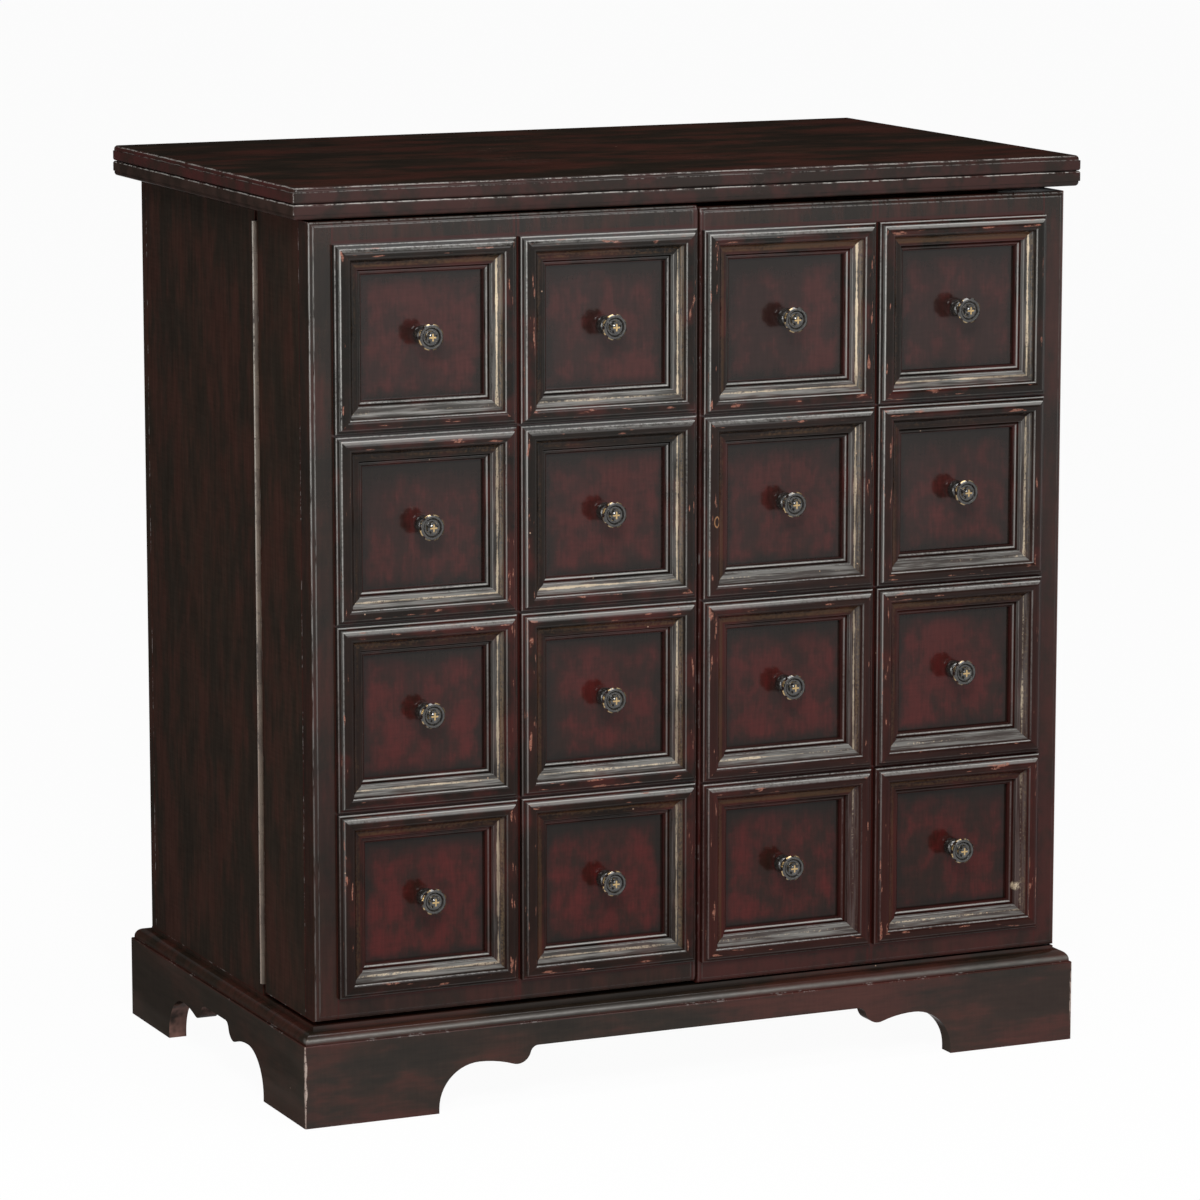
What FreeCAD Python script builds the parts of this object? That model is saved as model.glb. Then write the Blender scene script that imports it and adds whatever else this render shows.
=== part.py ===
import FreeCAD, Part
import math
import os
import re
import Sketcher

# A bar cabinet: two deep box doors on side hinges, and a top leaf that folds over to the back.
# X runs to the right, Y from front to back, Z up. The origin is on the floor, under the middle.

# Driving sizes in millimetres
sizes = {
    # Height, and the folding top
    "closed_height": 1067,
    "lid_front_overhang": 4,
    "lid_side_overhang": 19,
    "lid_back_overhang": 46.5,
    "leaf_thickness": 17.5,
    "leaf_gap": 1,
    "lid_step": 6,
    "lid_quirk": 1.5,
    "lid_top_round": 4.2,
    "lid_arris_round": 2.5,
    "lid_corner_round": 4,
    # Plinth with bracket feet
    "plinth_height": 96,
    "plinth_board": 22,
    "plinth_setout": 12.5,
    "plinth_side_setout": 18,
    "plinth_back_setout": 26.5,
    "plinth_corner_round": 2,
    "plinth_top_round": 1.5,
    "front_foot_width": 164.5,
    "side_apron_width": 72,
    "foot_rise": 6,
    "arch_radius": 50,
    "lobe_run": 48,
    "lobe_drop": 8,
    "lobe_radius": 17,
    "cusp_radius": 10,
    "apron_clearance": 68,
    "back_rail_height": 28,
    "front_block": 40,
    "glide_radius": 9,
    "glide_height": 3,
    # Moulded deck on the plinth
    "deck_thickness": 18,
    "deck_setback": 3,
    "deck_lip": 2,
    "deck_ovolo": 11,
    "deck_ledge": 3.5,
    # Case
    "case_width": 955,
    "cabinet_depth": 547,
    "case_board": 18,
    "back_thickness": 15,
    "shelf_setback": 10,
    "cubby_height": 320,
    "divider_thickness": 15,
    "glass_space_height": 260,
    # Hanging rack under the top board
    "rack_pitch": 110,
    "rack_setback": 30,
    "rack_back_gap": 36.5,
    "rack_web_width": 14,
    "rack_web_height": 16,
    "rack_flange_width": 76,
    "rack_flange_thickness": 8,
    # Doors
    "seam_setback": 161.5,
    "door_bottom_gap": 5,
    "door_top_gap": 2.5,
    "right_door_drop": 3,
    "meeting_gap": 3,
    "door_front": 30,
    "door_side": 18,
    "door_stile": 15,
    "door_board": 15,
    "door_edge_round": 5,
    "door_field_step": 1,
    "door_field_inset": 6,
    "rail_lift": 55,
    "rail_height": 35,
    "rail_thickness": 12,
    # Mitred mouldings round the panels
    "frame_width": 220,
    "frame_height": 212.5,
    "frame_column_gap": 5,
    "frame_row_gap": 2.5,
    "frame_meeting_margin": 3,
    "frame_top_margin": 26,
    "moulding_width": 36,
    "moulding_rise": 13.5,
    "moulding_seat": 24,
    "panel_recess": 9.5,
    "arris_radius": 1.5,
    "crown_radius": 10.4,
    "cove_radius": 9,
    "bead_radius": 3.4,
    # Knobs
    "knob_reach": 26,
    "knob_radius": 15,
    "knob_notch_radius": 3.4,
    "knob_collar_radius": 11,
    "knob_flare_radius": 8,
    "knob_cross_notch": 2.4,
    "knob_cross_depth": 4,
    # Hinge along each door
    "door_knuckle_radius": 3.7,
    "door_pin_radius": 1.6,
    "door_pin_offset": 1,
    "door_leaf_reach": 17,
    "door_leaf_plate": 1.5,
    "hinge_bottom_margin": 10,
    "hinge_top_margin": 13,
    # Hinges of the folding leaf
    "lid_knuckle_radius": 3,
    "lid_pin_radius": 1.5,
    "lid_pin_offset": 0.5,
    "lid_hinge_length": 60,
    "lid_hinge_spacing": 340,
    "lid_leaf_reach": 27,
    "lid_leaf_plate": 1.5,
    # Magnetic catches
    "catch_width": 14,
    "catch_height": 14,
    "catch_depth": 30,
    "strike_thickness": 1.5,
    "catch_gap": 0.5,
    # Clearances
    "knuckle_clearance": 0.3,
    "pin_clearance": 0.05,
    "mortise_clearance": 0.3,
    "cut_overrun": 5,
}

# Sizes and places that follow from the driving ones
derived = {
    "lid_width": "case_width + 2 * lid_side_overhang",
    "lid_depth": "lid_front_overhang + cabinet_depth + lid_back_overhang",
    "plinth_width": "case_width + 2 * plinth_side_setout",
    "plinth_depth": "plinth_setout + cabinet_depth + plinth_back_setout",
    "overall_depth": "knob_reach - lid_front_overhang + lid_depth + lid_pin_offset + lid_knuckle_radius",
    "face_y": "knob_reach - overall_depth / 2",
    "plinth_y": "face_y - plinth_setout",
    "plinth_back_y": "plinth_y + plinth_depth",
    "lid_y": "face_y - lid_front_overhang",
    "lid_pin_y": "lid_y + lid_depth + lid_pin_offset",
    "seam_half": "door_knuckle_radius + knuckle_clearance",
    "door_pin_x": "case_width / 2 + door_pin_offset",
    "door_pin_y": "face_y + seam_setback",
    "door_back_y": "door_pin_y - seam_half",
    "case_y": "door_pin_y + seam_half",
    "case_back_y": "face_y + cabinet_depth",
    "back_panel_y": "case_back_y - back_thickness",
    "case_depth": "back_panel_y - case_y",
    "rack_depth": "case_depth - rack_setback - rack_back_gap",
    "case_inner_width": "case_width - 2 * case_board",
    "deck_top": "plinth_height + deck_thickness",
    "deck_inset": "deck_setback + deck_ovolo + deck_ledge",
    "fixed_top_z": "closed_height - 2 * leaf_thickness - leaf_gap",
    "lid_pin_z": "fixed_top_z + leaf_thickness + leaf_gap / 2",
    "case_ceiling": "fixed_top_z - case_board",
    "lower_shelf_z": "deck_top + case_board + cubby_height",
    "upper_shelf_z": "lower_shelf_z + case_board + glass_space_height",
    "cubby_width": "(case_inner_width - 2 * divider_thickness) / 3",
    "lobe_clearance": "foot_rise + arch_radius - lobe_drop",
    "sweep_sum": "(lobe_run ^ 2 + lobe_drop ^ 2) / (2 * lobe_drop)",
    "sweep_radius": "sweep_sum - lobe_radius",
    "cusp_sum": "lobe_radius + cusp_radius",
    "cusp_rise": "apron_clearance - lobe_clearance",
    "cusp_run": "sqrt(2 * cusp_sum * cusp_rise - cusp_rise ^ 2)",
    "side_foot_width": "(plinth_depth - side_apron_width) / 2 - arch_radius - lobe_run - cusp_run",
    "door_width": "(case_width - meeting_gap) / 2",
    "left_door_z": "deck_top + door_bottom_gap",
    "right_door_z": "left_door_z - right_door_drop",
    "door_height": "fixed_top_z - door_top_gap - left_door_z",
    "door_bin_width": "door_width - door_side - door_stile",
    "door_bin_depth": "door_back_y - face_y - door_front",
    "door_bin_pitch": "(door_height - door_board) / 3",
    "frame_column_pitch": "frame_width + frame_column_gap",
    "frame_row_pitch": "frame_height + frame_row_gap",
    "knob_length": "knob_reach + panel_recess",
    "door_hinge_length": "door_height - hinge_bottom_margin - hinge_top_margin",
}

doorSides = ("left", "right")
rowCount = 4
columnNames = ("inner", "outer")
doorKnuckles = 25
lidKnuckles = 5
lidHingePlaces = (-1, 0, 1)
rackPlaces = (-2, -1, 0, 1, 2)
petalCount = 8
crossNotchCount = 4

# Distance within which two places count as one
tolerance = 1e-4

doc = FreeCAD.newDocument("BarCabinet")
sheet = doc.addObject("Spreadsheet::Sheet", "Sizes")
subparts = []


def fill_sheet():
    row = 1
    for name, number in sizes.items():
        write_cell(row, name, str(number))
        row += 1
    for name, formula in derived.items():
        write_cell(row, name, "=" + formula)
        row += 1
    doc.recompute()


def write_cell(row, name, content):
    sheet.set("A%d" % row, name)
    sheet.set("B%d" % row, content)
    sheet.setAlias("B%d" % row, name)


def full(text):
    # Puts the sheet's name before each of its aliases
    def prefixed(match):
        word = match.group(0)
        return "Sizes." + word if word in sizes or word in derived else word

    return re.sub(r"[A-Za-z_]\w*", prefixed, text)


def value(text):
    return float(sheet.evalExpression(full(text)))


def bind(item, prop, text):
    item.setExpression(prop, full(text))


def place(item, corner):
    for axis, text in zip("xyz", corner):
        bind(item, "Placement.Base." + axis, text)


def turned_placement(x, y, z):
    # Half a turn about an axis through the origin
    return FreeCAD.Placement(FreeCAD.Vector(), FreeCAD.Rotation(FreeCAD.Vector(x, y, z), 180))


def keep(item, label):
    # Marks an object as a sub-part that gets its own file
    item.Label = label
    subparts.append(item)
    return item


def side_x(side, near, width):
    # Lowest x of a piece that starts at a distance from the middle, on either side of it
    return near if side == "right" else "-(%s) - (%s)" % (near, width)


def box(name, corner, extent):
    item = doc.addObject("Part::Box", name)
    for prop, text in zip(("Length", "Width", "Height"), extent):
        bind(item, prop, text)
    place(item, corner)
    return item


def board(label, corner, extent):
    return keep(box(label, corner, extent), label)


def group(label, items):
    item = doc.addObject("Part::Compound", label)
    item.Links = items
    return keep(item, label)


# Sketches and body features

def new_body(label):
    return doc.addObject("PartDesign::Body", label)


def origin_feature(body, role):
    return [item for item in body.Origin.OriginFeatures if item.Role == role][0]


def new_sketch(body, name, role):
    sketch = body.newObject("Sketcher::SketchObject", name)
    sketch.AttachmentSupport = [(origin_feature(body, role), "")]
    sketch.MapMode = "FlatFace"
    return sketch


def arc_middle(start, end, radius, turn):
    # The middle of the short arc; turn is 1 for anticlockwise and -1 for clockwise
    chord = end.sub(start)
    half = chord.Length / 2
    rise = radius - math.sqrt(max(radius ** 2 - half ** 2, 0))
    normal = FreeCAD.Vector(chord.y, -chord.x, 0).normalize()
    return start.add(chord * 0.5).add(normal * (rise * turn))


def add_loop(sketch, steps):
    # Each step is (x, y) for a line to that point, or (x, y, radius, turn) for an arc to it
    corners = [FreeCAD.Vector(value(step[0]), value(step[1]), 0) for step in steps]
    pieces = []
    for index, step in enumerate(steps):
        start, end = corners[index - 1], corners[index]
        if len(step) == 2:
            pieces.append((sketch.addGeometry(Part.LineSegment(start, end)), 1, 2))
            continue
        middle = arc_middle(start, end, value(step[2]), step[3])
        number = sketch.addGeometry(Part.Arc(start, middle, end))
        gap_first = sketch.getPoint(number, 1).sub(start).Length
        gap_second = sketch.getPoint(number, 2).sub(start).Length
        pieces.append((number, 1, 2) if gap_first < gap_second else (number, 2, 1))
    for index, step in enumerate(steps):
        number, first, last = pieces[index]
        following = pieces[(index + 1) % len(pieces)]
        sketch.addConstraint(Sketcher.Constraint("Coincident", number, last, following[0], following[1]))
        hold(sketch, ("DistanceX", -1, 1, number, last), step[0])
        hold(sketch, ("DistanceY", -1, 1, number, last), step[1])
        if len(step) == 4:
            hold(sketch, ("Radius", number), step[2])


def hold(sketch, rule, text):
    # Adds a dimension and ties it to the sheet
    number = sketch.addConstraint(Sketcher.Constraint(*rule, value(text)))
    bind(sketch, "Constraints[%d]" % number, text)


def outline(body, name, role, steps):
    sketch = new_sketch(body, name, role)
    add_loop(sketch, steps)
    return sketch


def rectangle(low_x, low_y, high_x, high_y):
    return [(low_x, low_y), (high_x, low_y), (high_x, high_y), (low_x, high_y)]


def disc(body, name, role, x, y, radius):
    sketch = new_sketch(body, name, role)
    centre = FreeCAD.Vector(value(x), value(y), 0)
    number = sketch.addGeometry(Part.Circle(centre, FreeCAD.Vector(0, 0, 1), value(radius)))
    hold(sketch, ("DistanceX", -1, 1, number, 3), x)
    hold(sketch, ("DistanceY", -1, 1, number, 3), y)
    hold(sketch, ("Radius", number), radius)
    return sketch


def pad(body, name, sketch, length, backwards=False):
    item = body.newObject("PartDesign::Pad", name)
    item.Profile = sketch
    bind(item, "Length", length)
    item.Reversed = backwards
    return item


def pocket(body, name, sketch, depth, backwards=False):
    # Cuts against the sketch's normal, or along it when backwards is set
    before = settled_volume(body)
    item = body.newObject("PartDesign::Pocket", name)
    item.Profile = sketch
    bind(item, "Length", depth)
    item.Reversed = backwards
    doc.recompute()
    if not body.Shape.Volume < before:
        raise ValueError(name + " cuts nothing")
    return item


def settled_volume(body):
    doc.recompute()
    return body.Shape.Volume


def row_pattern(body, name, originals, role, length, count):
    item = body.newObject("PartDesign::LinearPattern", name)
    item.Originals = originals
    item.Direction = (origin_feature(body, role), [""])
    bind(item, "Length", length)
    item.Occurrences = count
    body.Tip = item
    return item


def edge_names(shape, wanted):
    # Names of the edges whose box centre passes the test
    names = []
    for number, edge in enumerate(shape.Edges, start=1):
        if wanted(edge.BoundBox):
            names.append("Edge%d" % number)
    if not names:
        raise ValueError("no edge passes the test")
    return names


def round_edges(body, name, base, wanted, radius):
    doc.recompute()
    item = body.newObject("PartDesign::Fillet", name)
    item.Base = (base, edge_names(base.Shape, wanted))
    bind(item, "Radius", radius)
    return item


def level(box_of_edge, low, high, target):
    # Tells whether an edge lies in one plane, such as ZMin and ZMax both at the target
    gaps = [abs(getattr(box_of_edge, name) - target) for name in (low, high)]
    return max(gaps) < tolerance


# Plinth

def bracket_outline(half_length, foot_width):
    # Half of the cut under a plinth board, from the foot to the middle of the apron
    edge = "(%s) - (%s)" % (half_length, foot_width)
    crest = "%s - arch_radius" % edge
    lobe = "%s - lobe_run" % crest
    crest_z = "foot_rise + arch_radius"
    return [
        (edge, "-cut_overrun"),
        (edge, "foot_rise"),
        (crest, crest_z, "arch_radius", 1),
        (crest + " - lobe_run * sweep_radius / sweep_sum",
         crest_z + " - lobe_drop * sweep_radius / sweep_sum", "sweep_radius", 1),
        (lobe, "lobe_clearance", "lobe_radius", -1),
        (lobe + " - cusp_run * lobe_radius / cusp_sum",
         "lobe_clearance + cusp_rise * lobe_radius / cusp_sum", "lobe_radius", -1),
        (lobe + " - cusp_run", "apron_clearance", "cusp_radius", 1),
    ]


def bracket_cut(half_length, foot_width):
    # The whole cut: the half outline and its mirror image
    right = bracket_outline(half_length, foot_width)
    left = []
    for index in range(len(right) - 1, -1, -1):
        x, z = right[index][0], right[index][1]
        after = right[(index + 1) % len(right)]
        arc = after[2:] if index + 1 < len(right) else ()
        left.append(("-(%s)" % x, z) + tuple(arc))
    return right + left


def plinth_board(label, plan, outer_edge, cut_role, cut_steps, cut_shift):
    body = new_body(label)
    top = value("plinth_height")
    blank = pad(body, label + "Blank", outline(body, label + "Plan", "XY_Plane", plan), "plinth_height")
    round_edges(body, label + "Round", blank,
                lambda edge: level(edge, "ZMin", "ZMax", top) and outer_edge(edge), "plinth_top_round")
    sketch = new_sketch(body, label + "Arch", cut_role)
    bind(sketch, "AttachmentOffset.Base.x", cut_shift)
    add_loop(sketch, cut_steps)
    before = settled_volume(body)
    item = body.newObject("PartDesign::Pocket", label + "Cut")
    item.Profile = sketch
    item.Type = "ThroughAll"
    item.Midplane = True
    doc.recompute()
    if not body.Shape.Volume < before:
        raise ValueError(label + " has no arch")
    place(body, ("0", "plinth_y", "0"))
    keep(body, label)


def plinth():
    tip = "plinth_corner_round * (1 - cos(45))"
    half = "plinth_width / 2"
    inner = "plinth_width / 2 - plinth_board"
    front_plan = [
        ("-(%s)" % inner, "plinth_board"),
        ("-(%s) + %s" % (half, tip), tip),
        ("-(%s) + plinth_corner_round" % half, "0", "plinth_corner_round", 1),
        ("%s - plinth_corner_round" % half, "0"),
        ("%s - %s" % (half, tip), tip, "plinth_corner_round", 1),
        (inner, "plinth_board"),
    ]
    reach = value("plinth_corner_round")
    outer = value(half) - reach
    plinth_board("plinth_front", front_plan, lambda edge: edge.YMax < reach,
                 "XZ_Plane", bracket_cut(half, "front_foot_width"), "0")
    for side in doorSides:
        sign = "-" if side == "left" else ""
        turn = 1 if side == "left" else -1
        side_plan = [
            ("%s(%s)" % (sign, inner), "plinth_board"),
            ("%s(%s)" % (sign, inner), "plinth_depth"),
            ("%s(%s)" % (sign, half), "plinth_depth"),
            ("%s(%s)" % (sign, half), "plinth_corner_round"),
            ("%s(%s - %s)" % (sign, half, tip), tip, "plinth_corner_round", turn),
        ]
        plinth_board("plinth_%s_side" % side, side_plan,
                     lambda edge: min(abs(edge.XMin), abs(edge.XMax)) > outer, "YZ_Plane",
                     bracket_cut("plinth_depth / 2", "side_foot_width"), "plinth_depth / 2")
    board("plinth_back_rail",
          ("-(%s)" % inner, "plinth_back_y - plinth_board", "plinth_height - back_rail_height"),
          ("2 * (%s)" % inner, "plinth_board", "back_rail_height"))
    corner_pieces(inner)


def corner_pieces(inner):
    # Glue blocks inside the corners, each with a glide under it. The rear ones are only as wide as the
    # plinth's boards, because the back shows no foot.
    blocks = []
    glides = []
    for side in doorSides:
        for end, size, y in (("Front", "front_block", "plinth_y + plinth_board"),
                             ("Rear", "plinth_board", "plinth_back_y - 2 * plinth_board")):
            top = "plinth_height" if end == "Front" else "plinth_height - back_rail_height"
            x = side_x(side, "%s - %s" % (inner, size), size)
            blocks.append(box("Block" + end + side, (x, y, "glide_height"),
                              (size, size, top + " - glide_height")))
            glide = doc.addObject("Part::Cylinder", "Glide" + end + side)
            bind(glide, "Radius", "glide_radius")
            bind(glide, "Height", "glide_height")
            place(glide, ("%s + %s / 2" % (x, size), "%s + %s / 2" % (y, size), "0"))
            glides.append(glide)
    group("corner_blocks", blocks)
    group("floor_glides", glides)


def deck():
    # The moulded board on the plinth, with a low step for the case
    body = new_body("base_deck")
    half = "plinth_width / 2"
    lower = outline(body, "DeckLower", "XY_Plane",
                    rectangle("-(%s) + deck_setback" % half, "deck_setback",
                              half + " - deck_setback", "plinth_depth - deck_setback"))
    slab = pad(body, "DeckSlab", lower, "deck_lip + deck_ovolo")
    top = value("deck_lip + deck_ovolo")
    round_edges(body, "DeckOvolo", slab, lambda edge: level(edge, "ZMin", "ZMax", top), "deck_ovolo")
    doc.recompute()
    upper = outline(body, "DeckUpper", "XY_Plane",
                    rectangle("-(%s) + deck_inset" % half, "deck_inset",
                              half + " - deck_inset", "case_back_y - plinth_y"))
    pad(body, "DeckStep", upper, "deck_thickness")
    place(body, ("0", "plinth_y", "plinth_height"))
    keep(body, "base_deck")


# Case

def case():
    inner = "case_inner_width"
    low = "-case_inner_width / 2"
    for side in doorSides:
        board("case_%s_side" % side,
              (side_x(side, "case_inner_width / 2", "case_board"), "case_y", "deck_top"),
              ("case_board", "case_depth", "fixed_top_z - deck_top"))
    board("case_bottom", (low, "case_y", "deck_top"), (inner, "case_depth", "case_board"))
    board("case_top", (low, "case_y", "case_ceiling"), (inner, "case_depth", "case_board"))
    board("case_back", ("-case_width / 2", "back_panel_y", "deck_top"),
          ("case_width", "back_thickness", "fixed_top_z - deck_top"))
    for label, z in (("lower_shelf", "lower_shelf_z"), ("upper_shelf", "upper_shelf_z")):
        board(label, (low, "case_y + shelf_setback", z), (inner, "case_depth - shelf_setback", "case_board"))
    dividers = []
    for side in doorSides:
        x = side_x(side, "cubby_width / 2", "divider_thickness")
        dividers.append(box("Divider" + side, (x, "case_y + shelf_setback", "deck_top + case_board"),
                            ("divider_thickness", "case_depth - shelf_setback", "cubby_height")))
    group("bottle_dividers", dividers)


def glass_rack():
    # Rails of the hanging rack: a web under the top board, and a wider strip under it
    web_z = "case_ceiling - rack_web_height"
    strip_z = web_z + " - rack_flange_thickness"
    for label, width, height, z in (
            ("glass_rack_webs", "rack_web_width", "rack_web_height", web_z),
            ("glass_rack_strips", "rack_flange_width", "rack_flange_thickness", strip_z)):
        pieces = []
        for number in rackPlaces:
            x = "%d * rack_pitch - %s / 2" % (number, width)
            pieces.append(box("%s%d" % (label, number + len(rackPlaces)),
                              (x, "case_y + rack_setback", z), (width, "rack_depth", height)))
        group(label, pieces)


def catches():
    magnets = []
    for side in doorSides:
        x = side_x(side, "meeting_gap / 2", "catch_width")
        strike_z = "case_ceiling - catch_height"
        front = "door_back_y + strike_thickness + catch_gap"
        magnets.append(box("Magnet" + side, (x, front, strike_z),
                           ("catch_width", "catch_depth", "catch_height")))
        board("%s_door_strike" % side, (x, "door_back_y", strike_z),
              ("catch_width", "strike_thickness", "catch_height"))
    group("magnetic_catches", magnets)


# Folding top

def leaf_plan(inset):
    # Outline of a leaf in plan: rounded front corners, square back corners
    half = "lid_width / 2 - %s" % inset
    back = "lid_depth"
    bend = "lid_corner_round"
    return [
        ("-(%s)" % half, back),
        ("-(%s)" % half, "%s + %s" % (inset, bend)),
        ("-(%s) + %s" % (half, bend), inset, bend, 1),
        ("%s - %s" % (half, bend), inset),
        (half, "%s + %s" % (inset, bend), bend, 1),
        (half, back),
    ]


def lid_leaf(label, turned):
    # Modelled with its meeting face at z = 0; the fixed leaf is the same piece turned over
    body = new_body(label)
    back = value("lid_depth")

    def moulded_edge(target):
        return lambda edge: level(edge, "ZMin", "ZMax", target) and edge.YMin < back - tolerance

    slab = pad(body, label + "Slab", outline(body, label + "Plan", "XY_Plane", leaf_plan("0")),
               "leaf_thickness - lid_step")
    round_edges(body, label + "Arris", slab, moulded_edge(0), "lid_arris_round")
    doc.recompute()
    upper = pad(body, label + "Upper", outline(body, label + "UpperPlan", "XY_Plane", leaf_plan("lid_quirk")),
                "leaf_thickness")
    round_edges(body, label + "Ovolo", upper, moulded_edge(value("leaf_thickness")), "lid_top_round")
    for name, reach, depth in (
            ("Mortise", "lid_leaf_reach - lid_pin_offset + mortise_clearance", "lid_leaf_plate"),
            ("Relief", "lid_knuckle_radius - lid_pin_offset + mortise_clearance",
             "lid_knuckle_radius - leaf_gap / 2 + mortise_clearance")):
        half = "lid_hinge_length / 2 + mortise_clearance"
        sketch = outline(body, label + name + "Plan", "XY_Plane",
                         rectangle("-(%s) - lid_hinge_spacing" % half, "lid_depth - (%s)" % reach,
                                   "%s - lid_hinge_spacing" % half, "lid_depth + cut_overrun"))
        cut = pocket(body, label + name, sketch, depth, True)
        row_pattern(body, label + name + "Row", [cut], "X_Axis", "2 * lid_hinge_spacing", len(lidHingePlaces))
    if turned:
        body.Placement = turned_placement(0, 1, 0)
    z = "lid_pin_z - leaf_gap / 2" if turned else "lid_pin_z + leaf_gap / 2"
    place(body, ("0", "lid_y", z))
    return keep(body, label)


# Hinges: the pin runs along local Z, and the leaf reaches along local X

def hinge_leaf(name, kind, near, length, knuckles, first, mirrored):
    # near is how far the leaf's inner face lies from the pin's middle plane
    body = new_body(name)
    plate = "%s_leaf_plate" % kind
    radius = "%s_knuckle_radius" % kind
    sign = "-" if mirrored else ""
    low = "%s(%s)" % (sign, near)
    high = "%s(%s + %s)" % (sign, near, plate)
    pitch = "(%s) / %d" % (length, knuckles)
    start = "%d * %s + knuckle_clearance / 2" % (first, pitch)
    count = len(range(first, knuckles, 2))
    steps = rectangle("%s + knuckle_clearance" % radius, low, "%s_leaf_reach" % kind, high)
    pad(body, name + "Plate", outline(body, name + "PlatePlan", "XY_Plane", steps), length)
    knuckle = []
    for part, sketch in (("Barrel", disc(body, name + "BarrelPlan", "XY_Plane", "0", "0", radius)),
                         ("Link", outline(body, name + "LinkPlan", "XY_Plane",
                                          rectangle("0", low, "%s + 2 * knuckle_clearance" % radius, high)))):
        bind(sketch, "AttachmentOffset.Base.z", start)
        knuckle.append(pad(body, name + part, sketch, "%s - knuckle_clearance" % pitch))
    doc.recompute()
    row_pattern(body, name + "Row", knuckle, "Z_Axis", "%d * 2 * %s" % (count - 1, pitch), count)
    bore = disc(body, name + "BorePlan", "XY_Plane", "0", "0", "%s_pin_radius + pin_clearance" % kind)
    pocket(body, name + "Bore", bore, length, True)
    return body


def pin(name, kind, length):
    item = doc.addObject("Part::Cylinder", name)
    bind(item, "Radius", "%s_pin_radius" % kind)
    bind(item, "Height", length)
    return item


def door_hinges():
    pins = []
    near = "seam_half - door_leaf_plate"
    for side in doorSides:
        z = "%s_door_z + hinge_bottom_margin" % side
        pin_x = "door_pin_x" if side == "right" else "-door_pin_x"
        for owner, first in (("case", 0), ("door", 1)):
            # On the right side the leaf is turned about the pin, so its two faces change places
            mirrored = (owner == "door") == (side == "left")
            label = "%s_hinge_%s_leaf" % (side, owner)
            body = hinge_leaf(label, "door", near, "door_hinge_length", doorKnuckles, first, mirrored)
            if side == "right":
                body.Placement = turned_placement(0, 0, 1)
            place(body, (pin_x, "door_pin_y", z))
            keep(body, label)
        rod = pin("DoorPin" + side, "door", "door_hinge_length")
        place(rod, (pin_x, "door_pin_y", z))
        pins.append(rod)
    group("door_hinge_pins", pins)


def lid_hinges():
    # Local Z lies along the cabinet's X, and the leaves reach to the front
    vector = FreeCAD.Vector
    turn = FreeCAD.Rotation(vector(0, -1, 0), vector(0, 0, 1), vector(-1, 0, 0), "XYZ")
    for owner, first, mirrored in (("lower", 0, True), ("upper", 1, False)):
        master = hinge_leaf("LidHinge" + owner, "lid", "leaf_gap / 2", "lid_hinge_length",
                            lidKnuckles, first, mirrored)
        doc.recompute()
        copies = []
        for number in lidHingePlaces:
            copy = doc.addObject("App::Link", "LidHinge%s%d" % (owner, number + len(lidHingePlaces)))
            copy.LinkedObject = master
            copies.append(lay_along_lid(copy, turn, number))
        group("lid_hinge_%s_leaves" % owner, copies)
    pins = []
    for number in lidHingePlaces:
        rod = pin("LidPin%d" % (number + len(lidHingePlaces)), "lid", "lid_hinge_length")
        pins.append(lay_along_lid(rod, turn, number))
    group("lid_hinge_pins", pins)


def lay_along_lid(item, turn, number):
    item.Placement = FreeCAD.Placement(FreeCAD.Vector(), turn)
    place(item, ("%d * lid_hinge_spacing + lid_hinge_length / 2" % number, "lid_pin_y", "lid_pin_z"))
    return item


# Doors

def door_box(side):
    z = "%s_door_z" % side
    near = "meeting_gap / 2 + door_stile"
    back_y = "face_y + door_front"
    outer_x = side_x(side, "case_width / 2 - door_side", "door_side")
    board("%s_door_side" % side, (outer_x, back_y, z), ("door_side", "door_bin_depth", "door_height"))
    board("%s_door_stile" % side, (side_x(side, "meeting_gap / 2", "door_stile"), back_y, z),
          ("door_stile", "door_bin_depth", "door_height"))
    x = side_x(side, near, "door_bin_width")
    levels = []
    for number in range(rowCount):
        levels.append(box("Level%d%s" % (number, side), (x, back_y, "%s + %d * door_bin_pitch" % (z, number)),
                          ("door_bin_width", "door_bin_depth", "door_board")))
    group("%s_door_ends" % side, [levels[0], levels[-1]])
    group("%s_door_shelves" % side, levels[1:-1])
    rails = []
    for number in range(rowCount - 1):
        rail_z = "%s + %d * door_bin_pitch + door_board + rail_lift" % (z, number)
        rails.append(box("Rail%d%s" % (number, side), (x, "door_back_y - rail_thickness", rail_z),
                         ("door_bin_width", "rail_thickness", "rail_height")))
    group("%s_door_rails" % side, rails)


def panel_x(side, column):
    sign = "-" if side == "left" else ""
    middle = "meeting_gap / 2 + frame_meeting_margin + frame_width / 2"
    return "%s(%s + %d * frame_column_pitch)" % (sign, middle, column)


def panel_z(side, row):
    top = "%s_door_z + door_height - frame_top_margin - frame_height / 2" % side
    return "%s - %d * frame_row_pitch" % (top, row)


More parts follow.
